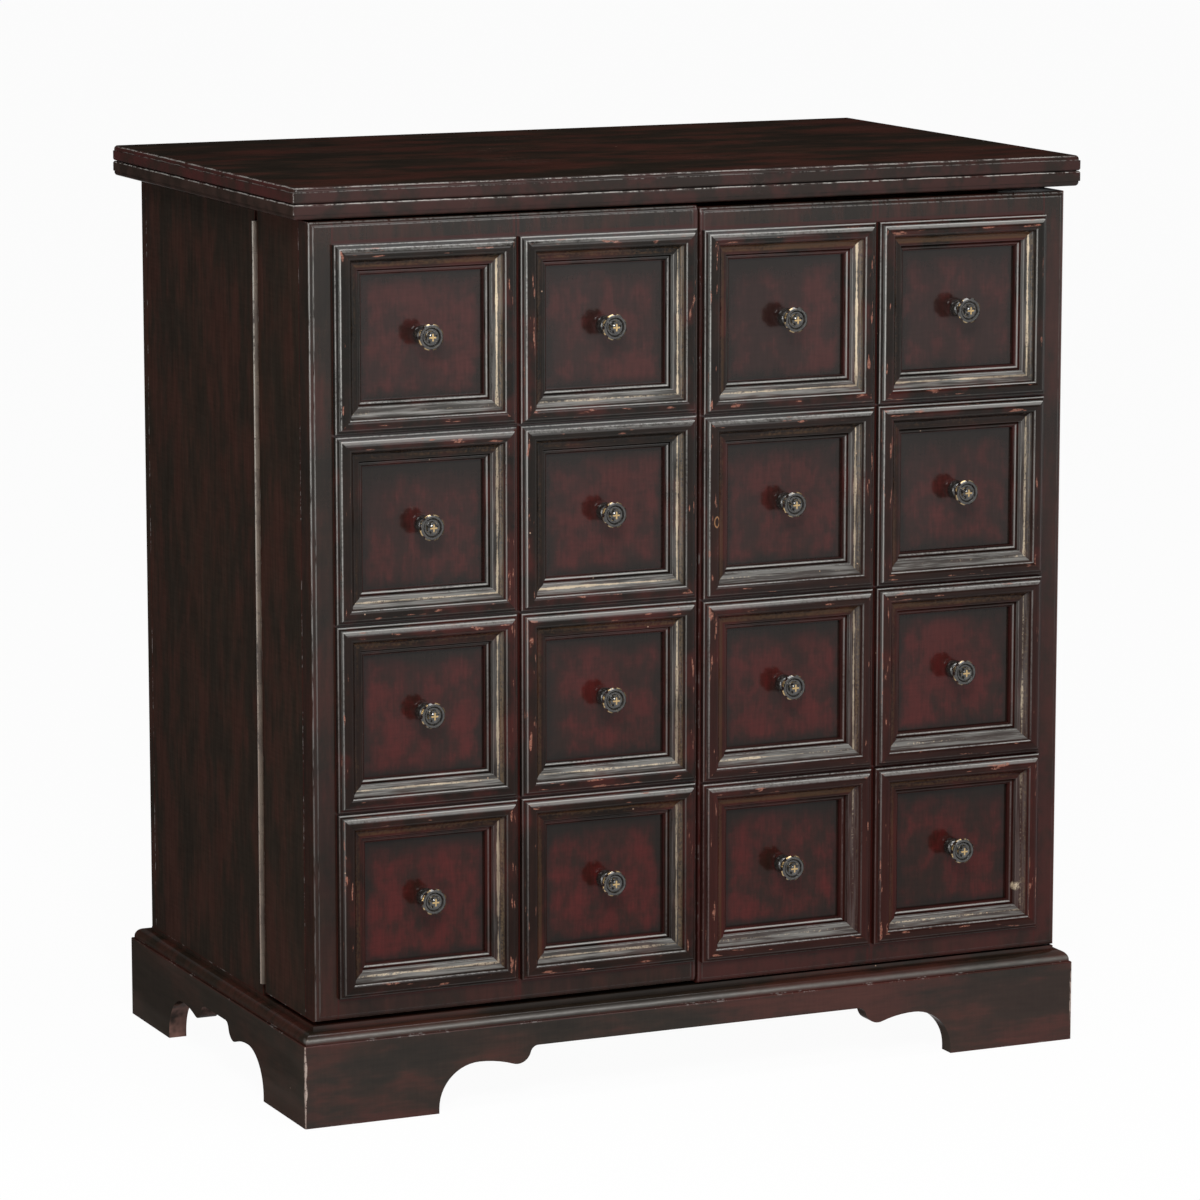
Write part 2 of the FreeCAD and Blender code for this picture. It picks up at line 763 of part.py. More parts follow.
def door_front(side):
    # A board with a rounded edge and a raised field, recessed behind each moulding
    label = "%s_door_front" % side
    body = new_body(label)
    inner_x = "meeting_gap / 2" if side == "right" else "-meeting_gap / 2"
    outer_x = "case_width / 2" if side == "right" else "-case_width / 2"
    low_x, high_x = (outer_x, inner_x) if side == "left" else (inner_x, outer_x)
    slab = pad(body, label + "Slab", outline(body, label + "Plan", "XZ_Plane",
                                             rectangle(low_x, "0", high_x, "door_height")),
               "door_front - door_field_step", True)
    doc.recompute()
    front_y = slab.Shape.BoundBox.YMin
    meeting_x = value(inner_x)
    round_edges(body, label + "Round", slab,
                lambda edge: level(edge, "YMin", "YMax", front_y)
                and not level(edge, "XMin", "XMax", meeting_x), "door_edge_round")
    doc.recompute()
    inset = "door_field_inset" if side == "left" else "-door_field_inset"
    field_x = "%s + %s" % (outer_x, inset)
    field_low, field_high = (field_x, inner_x) if side == "left" else (inner_x, field_x)
    field = outline(body, label + "Field", "XZ_Plane",
                    rectangle(field_low, "door_field_inset", field_high, "door_height - door_field_inset"))
    pad(body, label + "Raised", field, "door_field_step")
    doc.recompute()
    panel_recesses(body, label, side)
    place(body, ("0", "face_y + door_field_step", "%s_door_z" % side))
    keep(body, label)


def panel_recesses(body, label, side):
    half_x = "(frame_width / 2 - moulding_seat)"
    half_z = "(frame_height / 2 - moulding_seat)"
    x = panel_x(side, 0 if side == "right" else 1)
    z = "door_height - frame_top_margin - frame_height / 2 - %d * frame_row_pitch" % (rowCount - 1)
    sketch = new_sketch(body, label + "RecessPlan", "XZ_Plane")
    bind(sketch, "AttachmentOffset.Base.z", "door_field_step")
    add_loop(sketch, rectangle("%s - %s" % (x, half_x), "%s - %s" % (z, half_z),
                               "%s + %s" % (x, half_x), "%s + %s" % (z, half_z)))
    cut = pocket(body, label + "Recess", sketch, "panel_recess")
    across = body.newObject("PartDesign::LinearPattern", label + "Across")
    across.Direction = (origin_feature(body, "X_Axis"), [""])
    bind(across, "Length", "frame_column_pitch")
    across.Occurrences = len(columnNames)
    up = body.newObject("PartDesign::LinearPattern", label + "Up")
    up.Direction = (origin_feature(body, "Z_Axis"), [""])
    bind(up, "Length", "%d * frame_row_pitch" % (rowCount - 1))
    up.Occurrences = rowCount
    both = body.newObject("PartDesign::MultiTransform", label + "Recesses")
    both.Originals = [cut]
    both.Transformations = [across, up]
    body.Tip = both


# Section of the mitred moulding, from its outer edge to the panel. Each corner has its share of the
# moulding's width, its share of the rise above the door's face, and for a curve the radius and turn.
mouldingShares = (
    (0, 0.41),
    (0.042, 0.51, "arris_radius", -1),
    (0.125, 0.53),
    (0.125, 0.83),
    (0.43, 0.94, "crown_radius", -1),
    (0.43, 0.85),
    (0.48, 0.85),
    (0.68, 0.22, "cove_radius", 1),
    (0.805, 0.22),
    (0.805, -0.22),
    (0.833, -0.22),
    (0.983, -0.38, "bead_radius", -1),
    (1, -0.38),
)


def moulding_section():
    # Drawn with x as the depth behind the door's face and y as the height from the frame's middle
    edge = "-frame_height / 2"
    steps = [("0", edge)]
    for share in mouldingShares:
        corner = ("%s * moulding_rise" % -share[1], "%s + %s * moulding_width" % (edge, share[0]))
        steps.append(corner + tuple(share[2:]))
    steps.append(("panel_recess", edge + " + moulding_width"))
    steps.append(("panel_recess", edge + " + moulding_seat"))
    steps.append(("0", edge + " + moulding_seat"))
    return steps


def moulding_path(sketch):
    # The frame's outer rectangle, starting in the middle of its lower side
    points = [("0", "-frame_height / 2"), ("frame_width / 2", "-frame_height / 2"),
              ("frame_width / 2", "frame_height / 2"), ("-frame_width / 2", "frame_height / 2"),
              ("-frame_width / 2", "-frame_height / 2")]
    add_loop(sketch, points)


def panel_frame(side, row, column):
    label = "%s_frame_row%d_%s" % (side, row + 1, columnNames[column])
    body = new_body(label)
    path = new_sketch(body, label + "Path", "XZ_Plane")
    moulding_path(path)
    section = outline(body, label + "Section", "YZ_Plane", moulding_section())
    doc.recompute()
    pipe = body.newObject("PartDesign::AdditivePipe", label + "Moulding")
    pipe.Profile = section
    pipe.Spine = (path, [])
    pipe.Transition = "Right corner"
    place(body, (panel_x(side, column), "face_y", panel_z(side, row)))
    keep(body, label)


# Section of a knob: shares of its radius and of its length, from the panel outwards. A curve also has
# its radius and turn.
knobShares = (
    (0.65, 0),
    (0.42, 0.41, "knob_collar_radius", -1),
    (0.38, 0.43),
    (0.38, 0.48),
    (0.8, 0.68, "knob_flare_radius", 1),
    (0.87, 0.68),
    (0.87, 0.74),
    (1, 0.79),
    (1, 0.85),
    (0.88, 0.9),
    (0.74, 0.9),
    (0.62, 0.85),
    (0.5, 0.85),
    (0.45, 0.95),
    (0.25, 1),
    (0, 1),
)


# How far out the notches round the cross lie, along each axis
crossNotchShare = 0.33


def knob_master():
    body = new_body("KnobMaster")
    steps = [("0", "0")]
    for share in knobShares:
        corner = ("%s * knob_radius" % share[0], "%s * knob_length" % -share[1])
        steps.append(corner + tuple(share[2:]))
    section = outline(body, "KnobSection", "XY_Plane", steps)
    turned = body.newObject("PartDesign::Revolution", "KnobTurned")
    turned.Profile = section
    turned.ReferenceAxis = (section, ["V_Axis"])
    doc.recompute()
    knob_notches(body, "KnobPetals", ("knob_radius + knob_notch_radius / 2", "0"), "knob_notch_radius",
                 "knob_length", petalCount)
    cross = "knob_radius * %s" % crossNotchShare
    knob_notches(body, "KnobCross", (cross, cross), "knob_cross_notch",
                 "knob_cross_depth", crossNotchCount)
    return body


def knob_notches(body, name, middle, radius, depth, count):
    # Round notches set in a ring, cut from the front
    sketch = disc(body, name + "Plan", "XZ_Plane", middle[0], middle[1], radius)
    bind(sketch, "AttachmentOffset.Base.z", "knob_length + cut_overrun")
    cut = pocket(body, name + "Notch", sketch, depth + " + cut_overrun")
    ring = body.newObject("PartDesign::PolarPattern", name)
    ring.Originals = [cut]
    ring.Axis = (origin_feature(body, "Y_Axis"), [""])
    ring.Angle = 360
    ring.Occurrences = count
    body.Tip = ring
    doc.recompute()


def door_knobs(side, master):
    knobs = []
    for row in range(rowCount):
        for column, column_name in enumerate(columnNames):
            knob = doc.addObject("App::Link", "Knob%s%d%s" % (side, row + 1, column_name))
            knob.LinkedObject = master
            place(knob, (panel_x(side, column), "face_y + panel_recess", panel_z(side, row)))
            knobs.append(knob)
    group("%s_door_knobs" % side, knobs)


def doors():
    master = knob_master()
    for side in doorSides:
        door_front(side)
        door_box(side)
        for row in range(rowCount):
            for column in range(len(columnNames)):
                panel_frame(side, row, column)
        door_knobs(side, master)


def check_and_export():
    doc.recompute()
    for item in doc.Objects:
        if "Invalid" in item.State or "Error" in item.State:
            raise RuntimeError("%s failed: %s" % (item.Name, item.State))
    for item in subparts:
        if item.Shape.isNull() or not item.Shape.isValid():
            raise RuntimeError(item.Label + " has no valid shape")
    os.makedirs("parts", exist_ok=True)
    for item in subparts:
        item.Shape.exportStep("parts/%s.step" % item.Label)
    print("%d sub-parts written" % len(subparts))


fill_sheet()
plinth()
deck()
case()
glass_rack()
catches()
lid_leaf("fixed_top", True)
lid_leaf("flip_top", False)
lid_hinges()
door_hinges()
doors()
check_and_export()
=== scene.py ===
import math

import bmesh
import bpy
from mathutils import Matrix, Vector


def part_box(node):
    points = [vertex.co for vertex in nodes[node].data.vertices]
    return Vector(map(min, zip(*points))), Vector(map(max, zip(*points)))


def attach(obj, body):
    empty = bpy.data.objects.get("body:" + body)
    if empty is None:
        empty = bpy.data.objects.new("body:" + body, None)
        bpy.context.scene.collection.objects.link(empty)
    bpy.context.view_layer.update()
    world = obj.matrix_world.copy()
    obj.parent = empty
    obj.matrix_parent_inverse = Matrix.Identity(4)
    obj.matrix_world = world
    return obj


# A dark bar cabinet with an antique finish, dressed over its CAD frame
# Metres, with the origin on the floor under the cabinet's middle
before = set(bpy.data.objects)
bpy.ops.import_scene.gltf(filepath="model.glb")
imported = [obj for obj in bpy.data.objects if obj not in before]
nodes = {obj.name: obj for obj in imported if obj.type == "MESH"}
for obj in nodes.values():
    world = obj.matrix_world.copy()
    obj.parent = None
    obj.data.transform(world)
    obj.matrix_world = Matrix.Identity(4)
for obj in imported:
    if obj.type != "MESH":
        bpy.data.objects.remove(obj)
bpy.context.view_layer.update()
scene = bpy.context.scene


# Shader maths

class Signal:
    # One output socket, with Python's arithmetic on it
    def __init__(self, finish, socket):
        self.finish = finish
        self.socket = socket

    def maths(self, operation, *values):
        return self.finish.maths(operation, self, *values)

    def __add__(self, other):
        return self.maths("ADD", other)

    __radd__ = __add__

    def __sub__(self, other):
        return self.maths("SUBTRACT", other)

    def __rsub__(self, other):
        return self.finish.maths("SUBTRACT", other, self)

    def __mul__(self, other):
        return self.maths("MULTIPLY", other)

    __rmul__ = __mul__

    def __truediv__(self, other):
        return self.maths("DIVIDE", other)

    def __pow__(self, other):
        return self.maths("POWER", other)

    def __abs__(self):
        return self.maths("ABSOLUTE")

    def __gt__(self, other):
        return self.maths("GREATER_THAN", other)

    def __lt__(self, other):
        return self.maths("LESS_THAN", other)

    def atLeast(self, other):
        return self.maths("MAXIMUM", other)

    def atMost(self, other):
        return self.maths("MINIMUM", other)

    def wrapped(self, span):
        # Runs from 0 to span and starts again
        return self.maths("WRAP", span, 0.0)

    def rise(self, low, high):
        # Smooth step from 0 at low to 1 at high
        return self.finish.add("ShaderNodeMapRange", {"interpolation_type": "SMOOTHSTEP"},
                               {0: self, 1: low, 2: high})

    def fall(self, low, high):
        return 1 - self.rise(low, high)

    def near(self, centre, reach):
        # 1 at centre, 0 further off than reach
        return abs(self - centre).fall(0.0, reach)

    def span(self, low, high, soft):
        # 1 between low and high, with soft ends
        return self.rise(low - soft, low + soft) * self.fall(high - soft, high + soft)


class Finish:
    # A material, its Principled shader, and one way to add any other node
    def __init__(self, name):
        self.material = bpy.data.materials.new(name)
        self.material.use_nodes = True
        self.tree = self.material.node_tree
        self.tree.nodes.clear()
        self.shader = self.tree.nodes.new("ShaderNodeBsdfPrincipled")
        output = self.tree.nodes.new("ShaderNodeOutputMaterial")
        self.tree.links.new(self.shader.outputs[0], output.inputs["Surface"])
        self.place = self.add("ShaderNodeTexCoord", out="Object")
        self.x, self.y, self.z = self.split(self.place)
        facing = self.split(self.add("ShaderNodeTexCoord", out="Normal"))
        self.facingY = facing[1]
        self.outwards = facing[0] * self.maths("SIGN", self.x)
        self.sideways = abs(facing[0]).rise(0.5, 0.9)

    def split(self, vector):
        parts = self.tree.nodes.new("ShaderNodeSeparateXYZ")
        self.feed(parts.inputs[0], vector)
        return [Signal(self, socket) for socket in parts.outputs]

    def feed(self, socket, value):
        if isinstance(value, Signal):
            self.tree.links.new(value.socket, socket)
        elif isinstance(value, (tuple, list)) and len(value) == 3 and socket.type == "RGBA":
            socket.default_value = (*value, 1)
        else:
            socket.default_value = value

    def add(self, kind, settings=None, values=None, out=0):
        node = self.tree.nodes.new(kind)
        for name, setting in (settings or {}).items():
            if name == "stops":
                while len(node.color_ramp.elements) < len(setting):
                    node.color_ramp.elements.new(1)
                for element, (position, colour) in zip(node.color_ramp.elements, setting):
                    element.position = position
                    element.color = (*colour, 1)
            else:
                setattr(node, name, setting)
        for name, value in (values or {}).items():
            self.feed(node.inputs[name], value)
        return Signal(self, node.outputs[out])

    def maths(self, operation, *values):
        return self.add("ShaderNodeMath", {"operation": operation}, dict(enumerate(values)))

    def mix(self, amount, first, second):
        return self.add("ShaderNodeMix", {"data_type": "RGBA"}, {0: amount, 6: first, 7: second}, out=2)

    def shade(self, colour, amount):
        # Colour times a number
        return self.add("ShaderNodeVectorMath", {"operation": "SCALE"}, {0: colour, "Scale": amount})

    def stretched(self, along):
        return self.add("ShaderNodeVectorMath", {"operation": "MULTIPLY"}, {0: self.place, 1: along})

    def noise(self, scale, detail=2.0, roughness=0.5, along=(1, 1, 1), distortion=0.0):
        # scale is in waves per metre; a small share in along draws the pattern out on that axis
        return self.add("ShaderNodeTexNoise", {}, {"Vector": self.stretched(along), "Scale": scale,
                                                  "Detail": detail, "Roughness": roughness,
                                                  "Distortion": distortion})

    def specks(self, perMetre, size, share):
        # Small round spots on a share of scattered places
        cells = self.tree.nodes.new("ShaderNodeTexVoronoi")
        self.feed(cells.inputs["Vector"], self.place)
        self.feed(cells.inputs["Scale"], perMetre)
        chance = self.add("ShaderNodeSeparateColor", {}, {0: Signal(self, cells.outputs["Color"])})
        reach = size * perMetre
        spot = Signal(self, cells.outputs["Distance"]).fall(0.4 * reach, reach)
        return spot * (chance < share)

    def edges(self, low, high, reach):
        # 1 on the edges of a box-shaped piece, falling to 0 at reach from them
        a, b, c = [(axis - least).atMost(most - axis)
                   for axis, least, most in zip((self.x, self.y, self.z), low, high)]
        middle = a.atMost(b).atLeast(a.atLeast(b).atMost(c))
        return middle.fall(0.2 * reach, reach)

    def polish(self, amount):
        # A thin coat, thinner still on the faces that look sideways
        self.feed(self.shader.inputs["Coat Weight"], (1 - self.sideways * 0.95) * amount)

    def finish(self, colour, roughness, bump=None, bumpHeight=0.0002, **constants):
        # constants are numbers for the shader's other sockets
        self.feed(self.shader.inputs["Base Color"], colour)
        self.feed(self.shader.inputs["Roughness"], roughness)
        if bump is not None:
            relief = self.add("ShaderNodeBump", {},
                              {"Height": bump, "Strength": 1.0, "Distance": bumpHeight})
            self.feed(self.shader.inputs["Normal"], relief)
        for name, value in constants.items():
            self.feed(self.shader.inputs[name], value)
        return self.material


def dress(names, material):
    # Gives CAD nodes their finish
    for name in names:
        for slot in nodes[name].material_slots:
            slot.link = "OBJECT"
            slot.material = material


def boxOf(*names):
    boxes = [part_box(name) for name in names]
    low = [min(b[0][k] for b in boxes) for k in range(3)]
    high = [max(b[1][k] for b in boxes) for k in range(3)]
    return low, high


def middleOf(name, axis):
    low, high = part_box(name)
    return (low[axis] + high[axis]) / 2


# The painted wood: near-black glaze rubbed through to a deep red

paint = {
    "glaze": (0.0150, 0.0105, 0.0074), "brown": (0.0245, 0.0128, 0.0086), "red": (0.050, 0.0092, 0.0074),
    "sideLight": (0.050, 0.042, 0.036), "warm": (0.043, 0.0085, 0.0070), "silver": (0.32, 0.315, 0.30),
    "cream": (0.54, 0.44, 0.31), "speck": (0.46, 0.31, 0.22),
    "cloud": 6.5, "patch": 19.0, "brush": 150.0, "fibre": 520.0, "weave": 380.0,
    "specksPerMetre": 26.0, "speckSize": 0.0012, "relief": 0.00012, "coatRoughness": 0.14,
}
stain = {"dark": (0.045, 0.0135, 0.009), "middle": (0.085, 0.025, 0.015), "light": (0.125, 0.040, 0.022),
         "grain": 34.0, "pores": 420.0, "relief": 0.00012}


def crossWeave(f, scale, roughness, fine):
    # Two sets of fine threads that cross; fine holds the stretch of each
    return sum(f.noise(scale, 2.0, roughness, along) * 0.5 for along in fine)


def woodSkin(f, along, redness):
    # Colour and relief of the brushed glaze; along is longest where the brush ran
    soft = tuple(share ** 0.35 for share in along)
    cloud = f.noise(paint["cloud"], 3.0, 0.55, soft)
    patch = f.noise(paint["patch"], 4.0, 0.62, soft)
    brush = f.noise(paint["brush"], 3.0, 0.6, along)
    fibre = f.noise(paint["fibre"], 2.0, 0.5, along)
    weave = crossWeave(f, paint["weave"], 0.5, ((0.07, 0.07, 1), (1, 1, 0.07)))
    worn = (cloud * 0.4 + patch * 0.6 + (brush - 0.5) * 0.2).rise(0.45, 0.60)
    colour = f.mix(patch.rise(0.38, 0.62), paint["glaze"], paint["brown"])
    colour = f.mix(worn * redness * (1 - f.sideways * 0.3), colour, paint["red"])
    # Faces that look sideways are paler: painted light on the sides
    colour = f.mix(f.sideways * 0.12, colour, paint["sideLight"])
    mottle = (patch - 0.5) * (0.9 - f.sideways * 0.65)
    colour = f.shade(colour, 0.84 + mottle + (brush - 0.5) * 0.7 + (weave - 0.5) * 0.7 + fibre * 0.3)
    relief = brush * 0.4 + fibre * 0.4 + weave * 0.3
    return colour, relief, cloud


def stainColour(f, along):
    # Red-brown stain of the inside faces
    grain = f.noise(stain["grain"], 5.0, 0.65, along, 0.4)
    pores = f.noise(stain["pores"], 2.0, 0.5, along)
    stops = ((0.25, stain["dark"]), (0.5, stain["middle"]), (0.75, stain["light"]))
    colour = f.add("ShaderNodeValToRGB", {"stops": stops}, {0: grain})
    return f.shade(colour, 0.75 + pores * 0.5), grain * 0.4 + pores * 0.6, pores


def antique(name, along, redness, low, high, edgeReach=0.0014, edgeWear=0.4, sheen=0.34, coat=0.3,
            extra=None, inside=None):
    # extra adds a piece's own marks; inside gives 1 on the faces that look inwards, which are stained
    f = Finish(name)
    colour, relief, cloud = woodSkin(f, along, redness)
    scatter = f.noise(38.0, 4.0, 0.7)
    ragged = f.noise(260.0, 3.0, 0.7)
    edge = f.edges(low, high, edgeReach)
    paleEdge = edge * (scatter + (ragged - 0.5) * 0.5).rise(0.62 - 0.25 * edgeWear, 0.70 - 0.2 * edgeWear)
    colour = f.mix(edge * 0.5, colour, paint["red"])
    colour = f.mix(paleEdge * (0.25 + 0.6 * edgeWear), colour, paint["silver"])
    spots = f.specks(paint["specksPerMetre"], paint["speckSize"], 0.35)
    colour = f.mix(spots * 0.6, colour, paint["speck"])
    if extra:
        colour, relief = extra(f, colour, relief)
    if inside:
        colour = f.mix(inside(f), colour, stainColour(f, along)[0])
    dullest, glossiest = coat if isinstance(coat, tuple) else (coat, coat)    # low down and high up
    f.polish((0.8 + cloud * 0.4) * (dullest + f.z.rise(0.1, 1.0) * (glossiest - dullest)))
    rough = sheen + (f.noise(60.0, 3.0, 0.6, along) - 0.5) * 0.12 + paleEdge * 0.2
    return f.finish(colour, rough, relief - paleEdge * 0.8 - spots, paint["relief"],
                    **{"Specular IOR Level": 0.0, "Coat Roughness": paint["coatRoughness"]})


# Where the panels lie, read off the frames round them

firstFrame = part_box("right_frame_row4_inner")
grid = {
    "halfWidth": (firstFrame[1][0] - firstFrame[0][0]) / 2,
    "halfHeight": (firstFrame[1][2] - firstFrame[0][2]) / 2,
    "column": middleOf("right_frame_row4_inner", 0),
    "columnPitch": middleOf("right_frame_row4_outer", 0) - middleOf("right_frame_row4_inner", 0),
    "row": middleOf("left_frame_row4_inner", 2),
    "rowPitch": middleOf("left_frame_row3_inner", 2) - middleOf("left_frame_row4_inner", 2),
    "rightDrop": middleOf("left_frame_row4_inner", 2) - middleOf("right_frame_row4_inner", 2),
    "face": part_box("left_door_front")[0][1],
    "member": 0.036, "recess": 0.0095,    # width of a moulding, depth of a panel behind the door's face
}


def panelPlace(f):
    # Place on the nearest of a door's eight panels, from its middle: across, real side of x, and up
    side = f.maths("SIGN", f.x)
    across = (abs(f.x) - (grid["column"] - grid["columnPitch"] / 2)).wrapped(grid["columnPitch"])
    across = across - grid["columnPitch"] / 2
    up = f.z + (f.x > 0.0) * grid["rightDrop"] - (grid["row"] - grid["rowPitch"] / 2)
    up = up.wrapped(grid["rowPitch"]) - grid["rowPitch"] / 2
    return across, across * side, up


# Door fronts

doorPaint = {
    "upperDark": (0.0155, 0.0094, 0.0080), "upperRed": (0.046, 0.0128, 0.0112),
    "lowerDark": (0.0180, 0.0084, 0.0062), "lowerRed": (0.062, 0.0094, 0.0084),
    "rim": (0.0105, 0.0072, 0.0058), "lane": (0.040, 0.0050, 0.0040), "farEdge": (0.10, 0.024, 0.018),
    "flank": 9.0, "blush": 33.0, "fine": 240.0, "weave": 330.0,
    "round": (0.0017, 0.0011), "step": (0.0060, 0.0010), "laneReach": 0.003,
    "rail": (0.0065, 0.010), "coat": (0.32, 0.68), "sheen": 0.36,
}


def doorFace(name, low, high):
    # Flat door board: each panel is darkest round its rim and under its top, partly glaze and partly painted
    # shade of the moulding, with red rubbed through in soft patches
    wide, tall = grid["halfWidth"] - grid["member"], grid["halfHeight"] - grid["member"]
    innerEdge, outerEdge = sorted((abs(low[0]), abs(high[0])))

    def panels(f, colour, relief):
        across, _, up = panelPlace(f)
        rim = (wide - abs(across)).atMost(tall - abs(up))
        sunk = (f.y > grid["face"] + grid["recess"] * 0.6) * (f.y < grid["face"] + grid["recess"] * 1.4)
        onPanel = rim.rise(-0.0015, 0.0002) * sunk
        flank = f.noise(doorPaint["flank"], 3.0, 0.6, (1.2, 1, 0.6))
        blush = f.noise(doorPaint["blush"], 4.0, 0.64, (1.1, 1, 0.85))
        fine = f.noise(doorPaint["fine"], 3.0, 0.7, (1.3, 1, 0.14))
        weave = crossWeave(f, doorPaint["weave"], 0.6, ((0.1, 1, 1), (1, 1, 0.1)))
        worn = flank * 0.4 + blush * 0.6 + (fine - 0.5) * 0.12
        lowDown = f.z.fall(0.2, 0.95)
        upper = f.mix(worn.rise(0.43, 0.60) * 0.75 + 0.22, doorPaint["upperDark"], doorPaint["upperRed"])
        lower = f.mix(worn.rise(0.37, 0.63), doorPaint["lowerDark"], doorPaint["lowerRed"])
        panel = f.mix(lowDown, upper, lower)
        # Darker round the rim and most under the top member: gathered glaze and painted shade
        rimGlazeAndShade = (rim + (blush - 0.5) * 0.02).rise(-0.002, 0.016)
        rimGlazeAndShade = rimGlazeAndShade * (tall - up + (flank - 0.5) * 0.04).rise(-0.002, 0.034)
        panel = f.mix(rimGlazeAndShade, doorPaint["rim"], panel)
        panel = f.shade(panel, 0.9 + (fine - 0.5) * 0.4 + (weave - 0.5) * 0.8)
        warmth = lowDown * (0.12 + (f.x > 0.0) * 0.26) * (0.5 + blush.rise(0.38, 0.60) * 1.2)
        colour = f.mix(warmth, f.shade(colour, 0.72), paint["warm"])
        colour = f.mix(onPanel, colour, panel)
        # Red shows in the narrow lanes between the frames
        onRails = (1 - onPanel) * (1 - sunk)
        frames = (grid["column"] + grid["columnPitch"] + grid["halfWidth"] - abs(f.x)).rise(-0.001, 0.0)
        lane = (rim + grid["member"]).near(0.0, doorPaint["laneReach"]) * onRails * frames
        colour = f.mix(lane * 0.6, colour, doorPaint["lane"])
        # Silver on the round of the board's edge and on the step inside it: partly rubbed wear, partly
        # painted highlight, strongest on the left door's outer edge and fainter lower down
        fromOuter, fromTop = outerEdge - abs(f.x), high[2] - f.z
        gap = (abs(f.x) - innerEdge).atMost(fromOuter).atMost(fromTop).atMost(f.z - low[2])
        lines = gap.near(*doorPaint["round"]).atLeast(gap.near(*doorPaint["step"]) * 0.9) * onRails
        keen = fromOuter.fall(*doorPaint["rail"]) * (0.2 + (f.x < 0.0) * 0.45) * (1 - lowDown * 0.7)
        keen = keen.atLeast(fromTop.fall(*doorPaint["rail"]) * 0.4).atLeast(0.08)
        paleMark = lines * keen * fine.rise(0.34, 0.52)
        farEdge = fromOuter.fall(0.002, 0.004) * (f.x > 0.0) * onRails
        colour = f.mix(farEdge * 0.6, colour, doorPaint["farEdge"])
        colour = f.mix(paleMark * 0.9, colour, paint["silver"])
        return colour, relief

    return antique(name, (1, 1, 0.1), 0.4, low, high, edgeReach=0.0022, edgeWear=0.3, extra=panels,
                   sheen=doorPaint["sheen"], coat=doorPaint["coat"],
                   inside=lambda f: f.facingY.rise(0.5, 0.8))


# Mouldings round the panels

mouldingPaint = {
    "dark": (0.0062, 0.0050, 0.0036), "brown": (0.0130, 0.0074, 0.0052), "red": (0.046, 0.0082, 0.0066),
    "amber": (0.075, 0.040, 0.018), "grey": (0.155, 0.150, 0.140), "gold": (0.17, 0.115, 0.060),
    "chip": (0.20, 0.045, 0.030), "wall": (0.026, 0.0060, 0.0050), "ring": (0.30, 0.15, 0.07),
    "brush": 210.0, "fibre": 700.0, "cloud": 24.0, "patch": 17.0, "ragged": 300.0,
    "specksPerMetre": 45.0, "speckSize": 0.0011, "scratches": 4200.0,
    "dullCoat": 0.10, "addedCoat": 0.24, "roughness": 0.24, "relief": 0.00016,
}
# Depths from a frame's outer edge: a line has its middle and reach, a band its two ends and their softness
member = {
    "arris": (0.0010, 0.0011), "step": (0.0052, 0.0012), "brow": (0.0050, 0.0085, 0.0010),
    "crown": (0.0040, 0.0150, 0.0015), "shoulder": (0.0156, 0.0009), "cove": (0.0178, 0.0246, 0.0007),
    "gold": (0.0180, 0.0212, 0.0005), "amber": (0.0190, 0.0262, 0.0012), "cream": (0.0192, 0.0262, 0.0004),
    "creamLine": 0.0232, "flat": (0.0246, 0.0290, 0.0003), "lip": (0.0287, 0.0006),
    "bead": (0.0332, 0.0014), "wall": (0.0352, 0.0358),
}
# Two marks of use, placed from the middle of a frame: a small oval ring and a pale round spot
marks = {
    "ring": {"frame": "right_frame_row2_inner", "across": -0.0959, "up": -0.01525,
             "halfWidth": 0.0035, "halfHeight": 0.006, "band": 0.55},
    "spot": {"frame": "right_frame_row4_outer", "across": 0.0825, "up": -0.05425,
             "core": 0.003, "reach": 0.006},
}


def fromMark(f, mark):
    return (f.x - (middleOf(mark["frame"], 0) + mark["across"]),
            f.z - (middleOf(mark["frame"], 2) + mark["up"]))


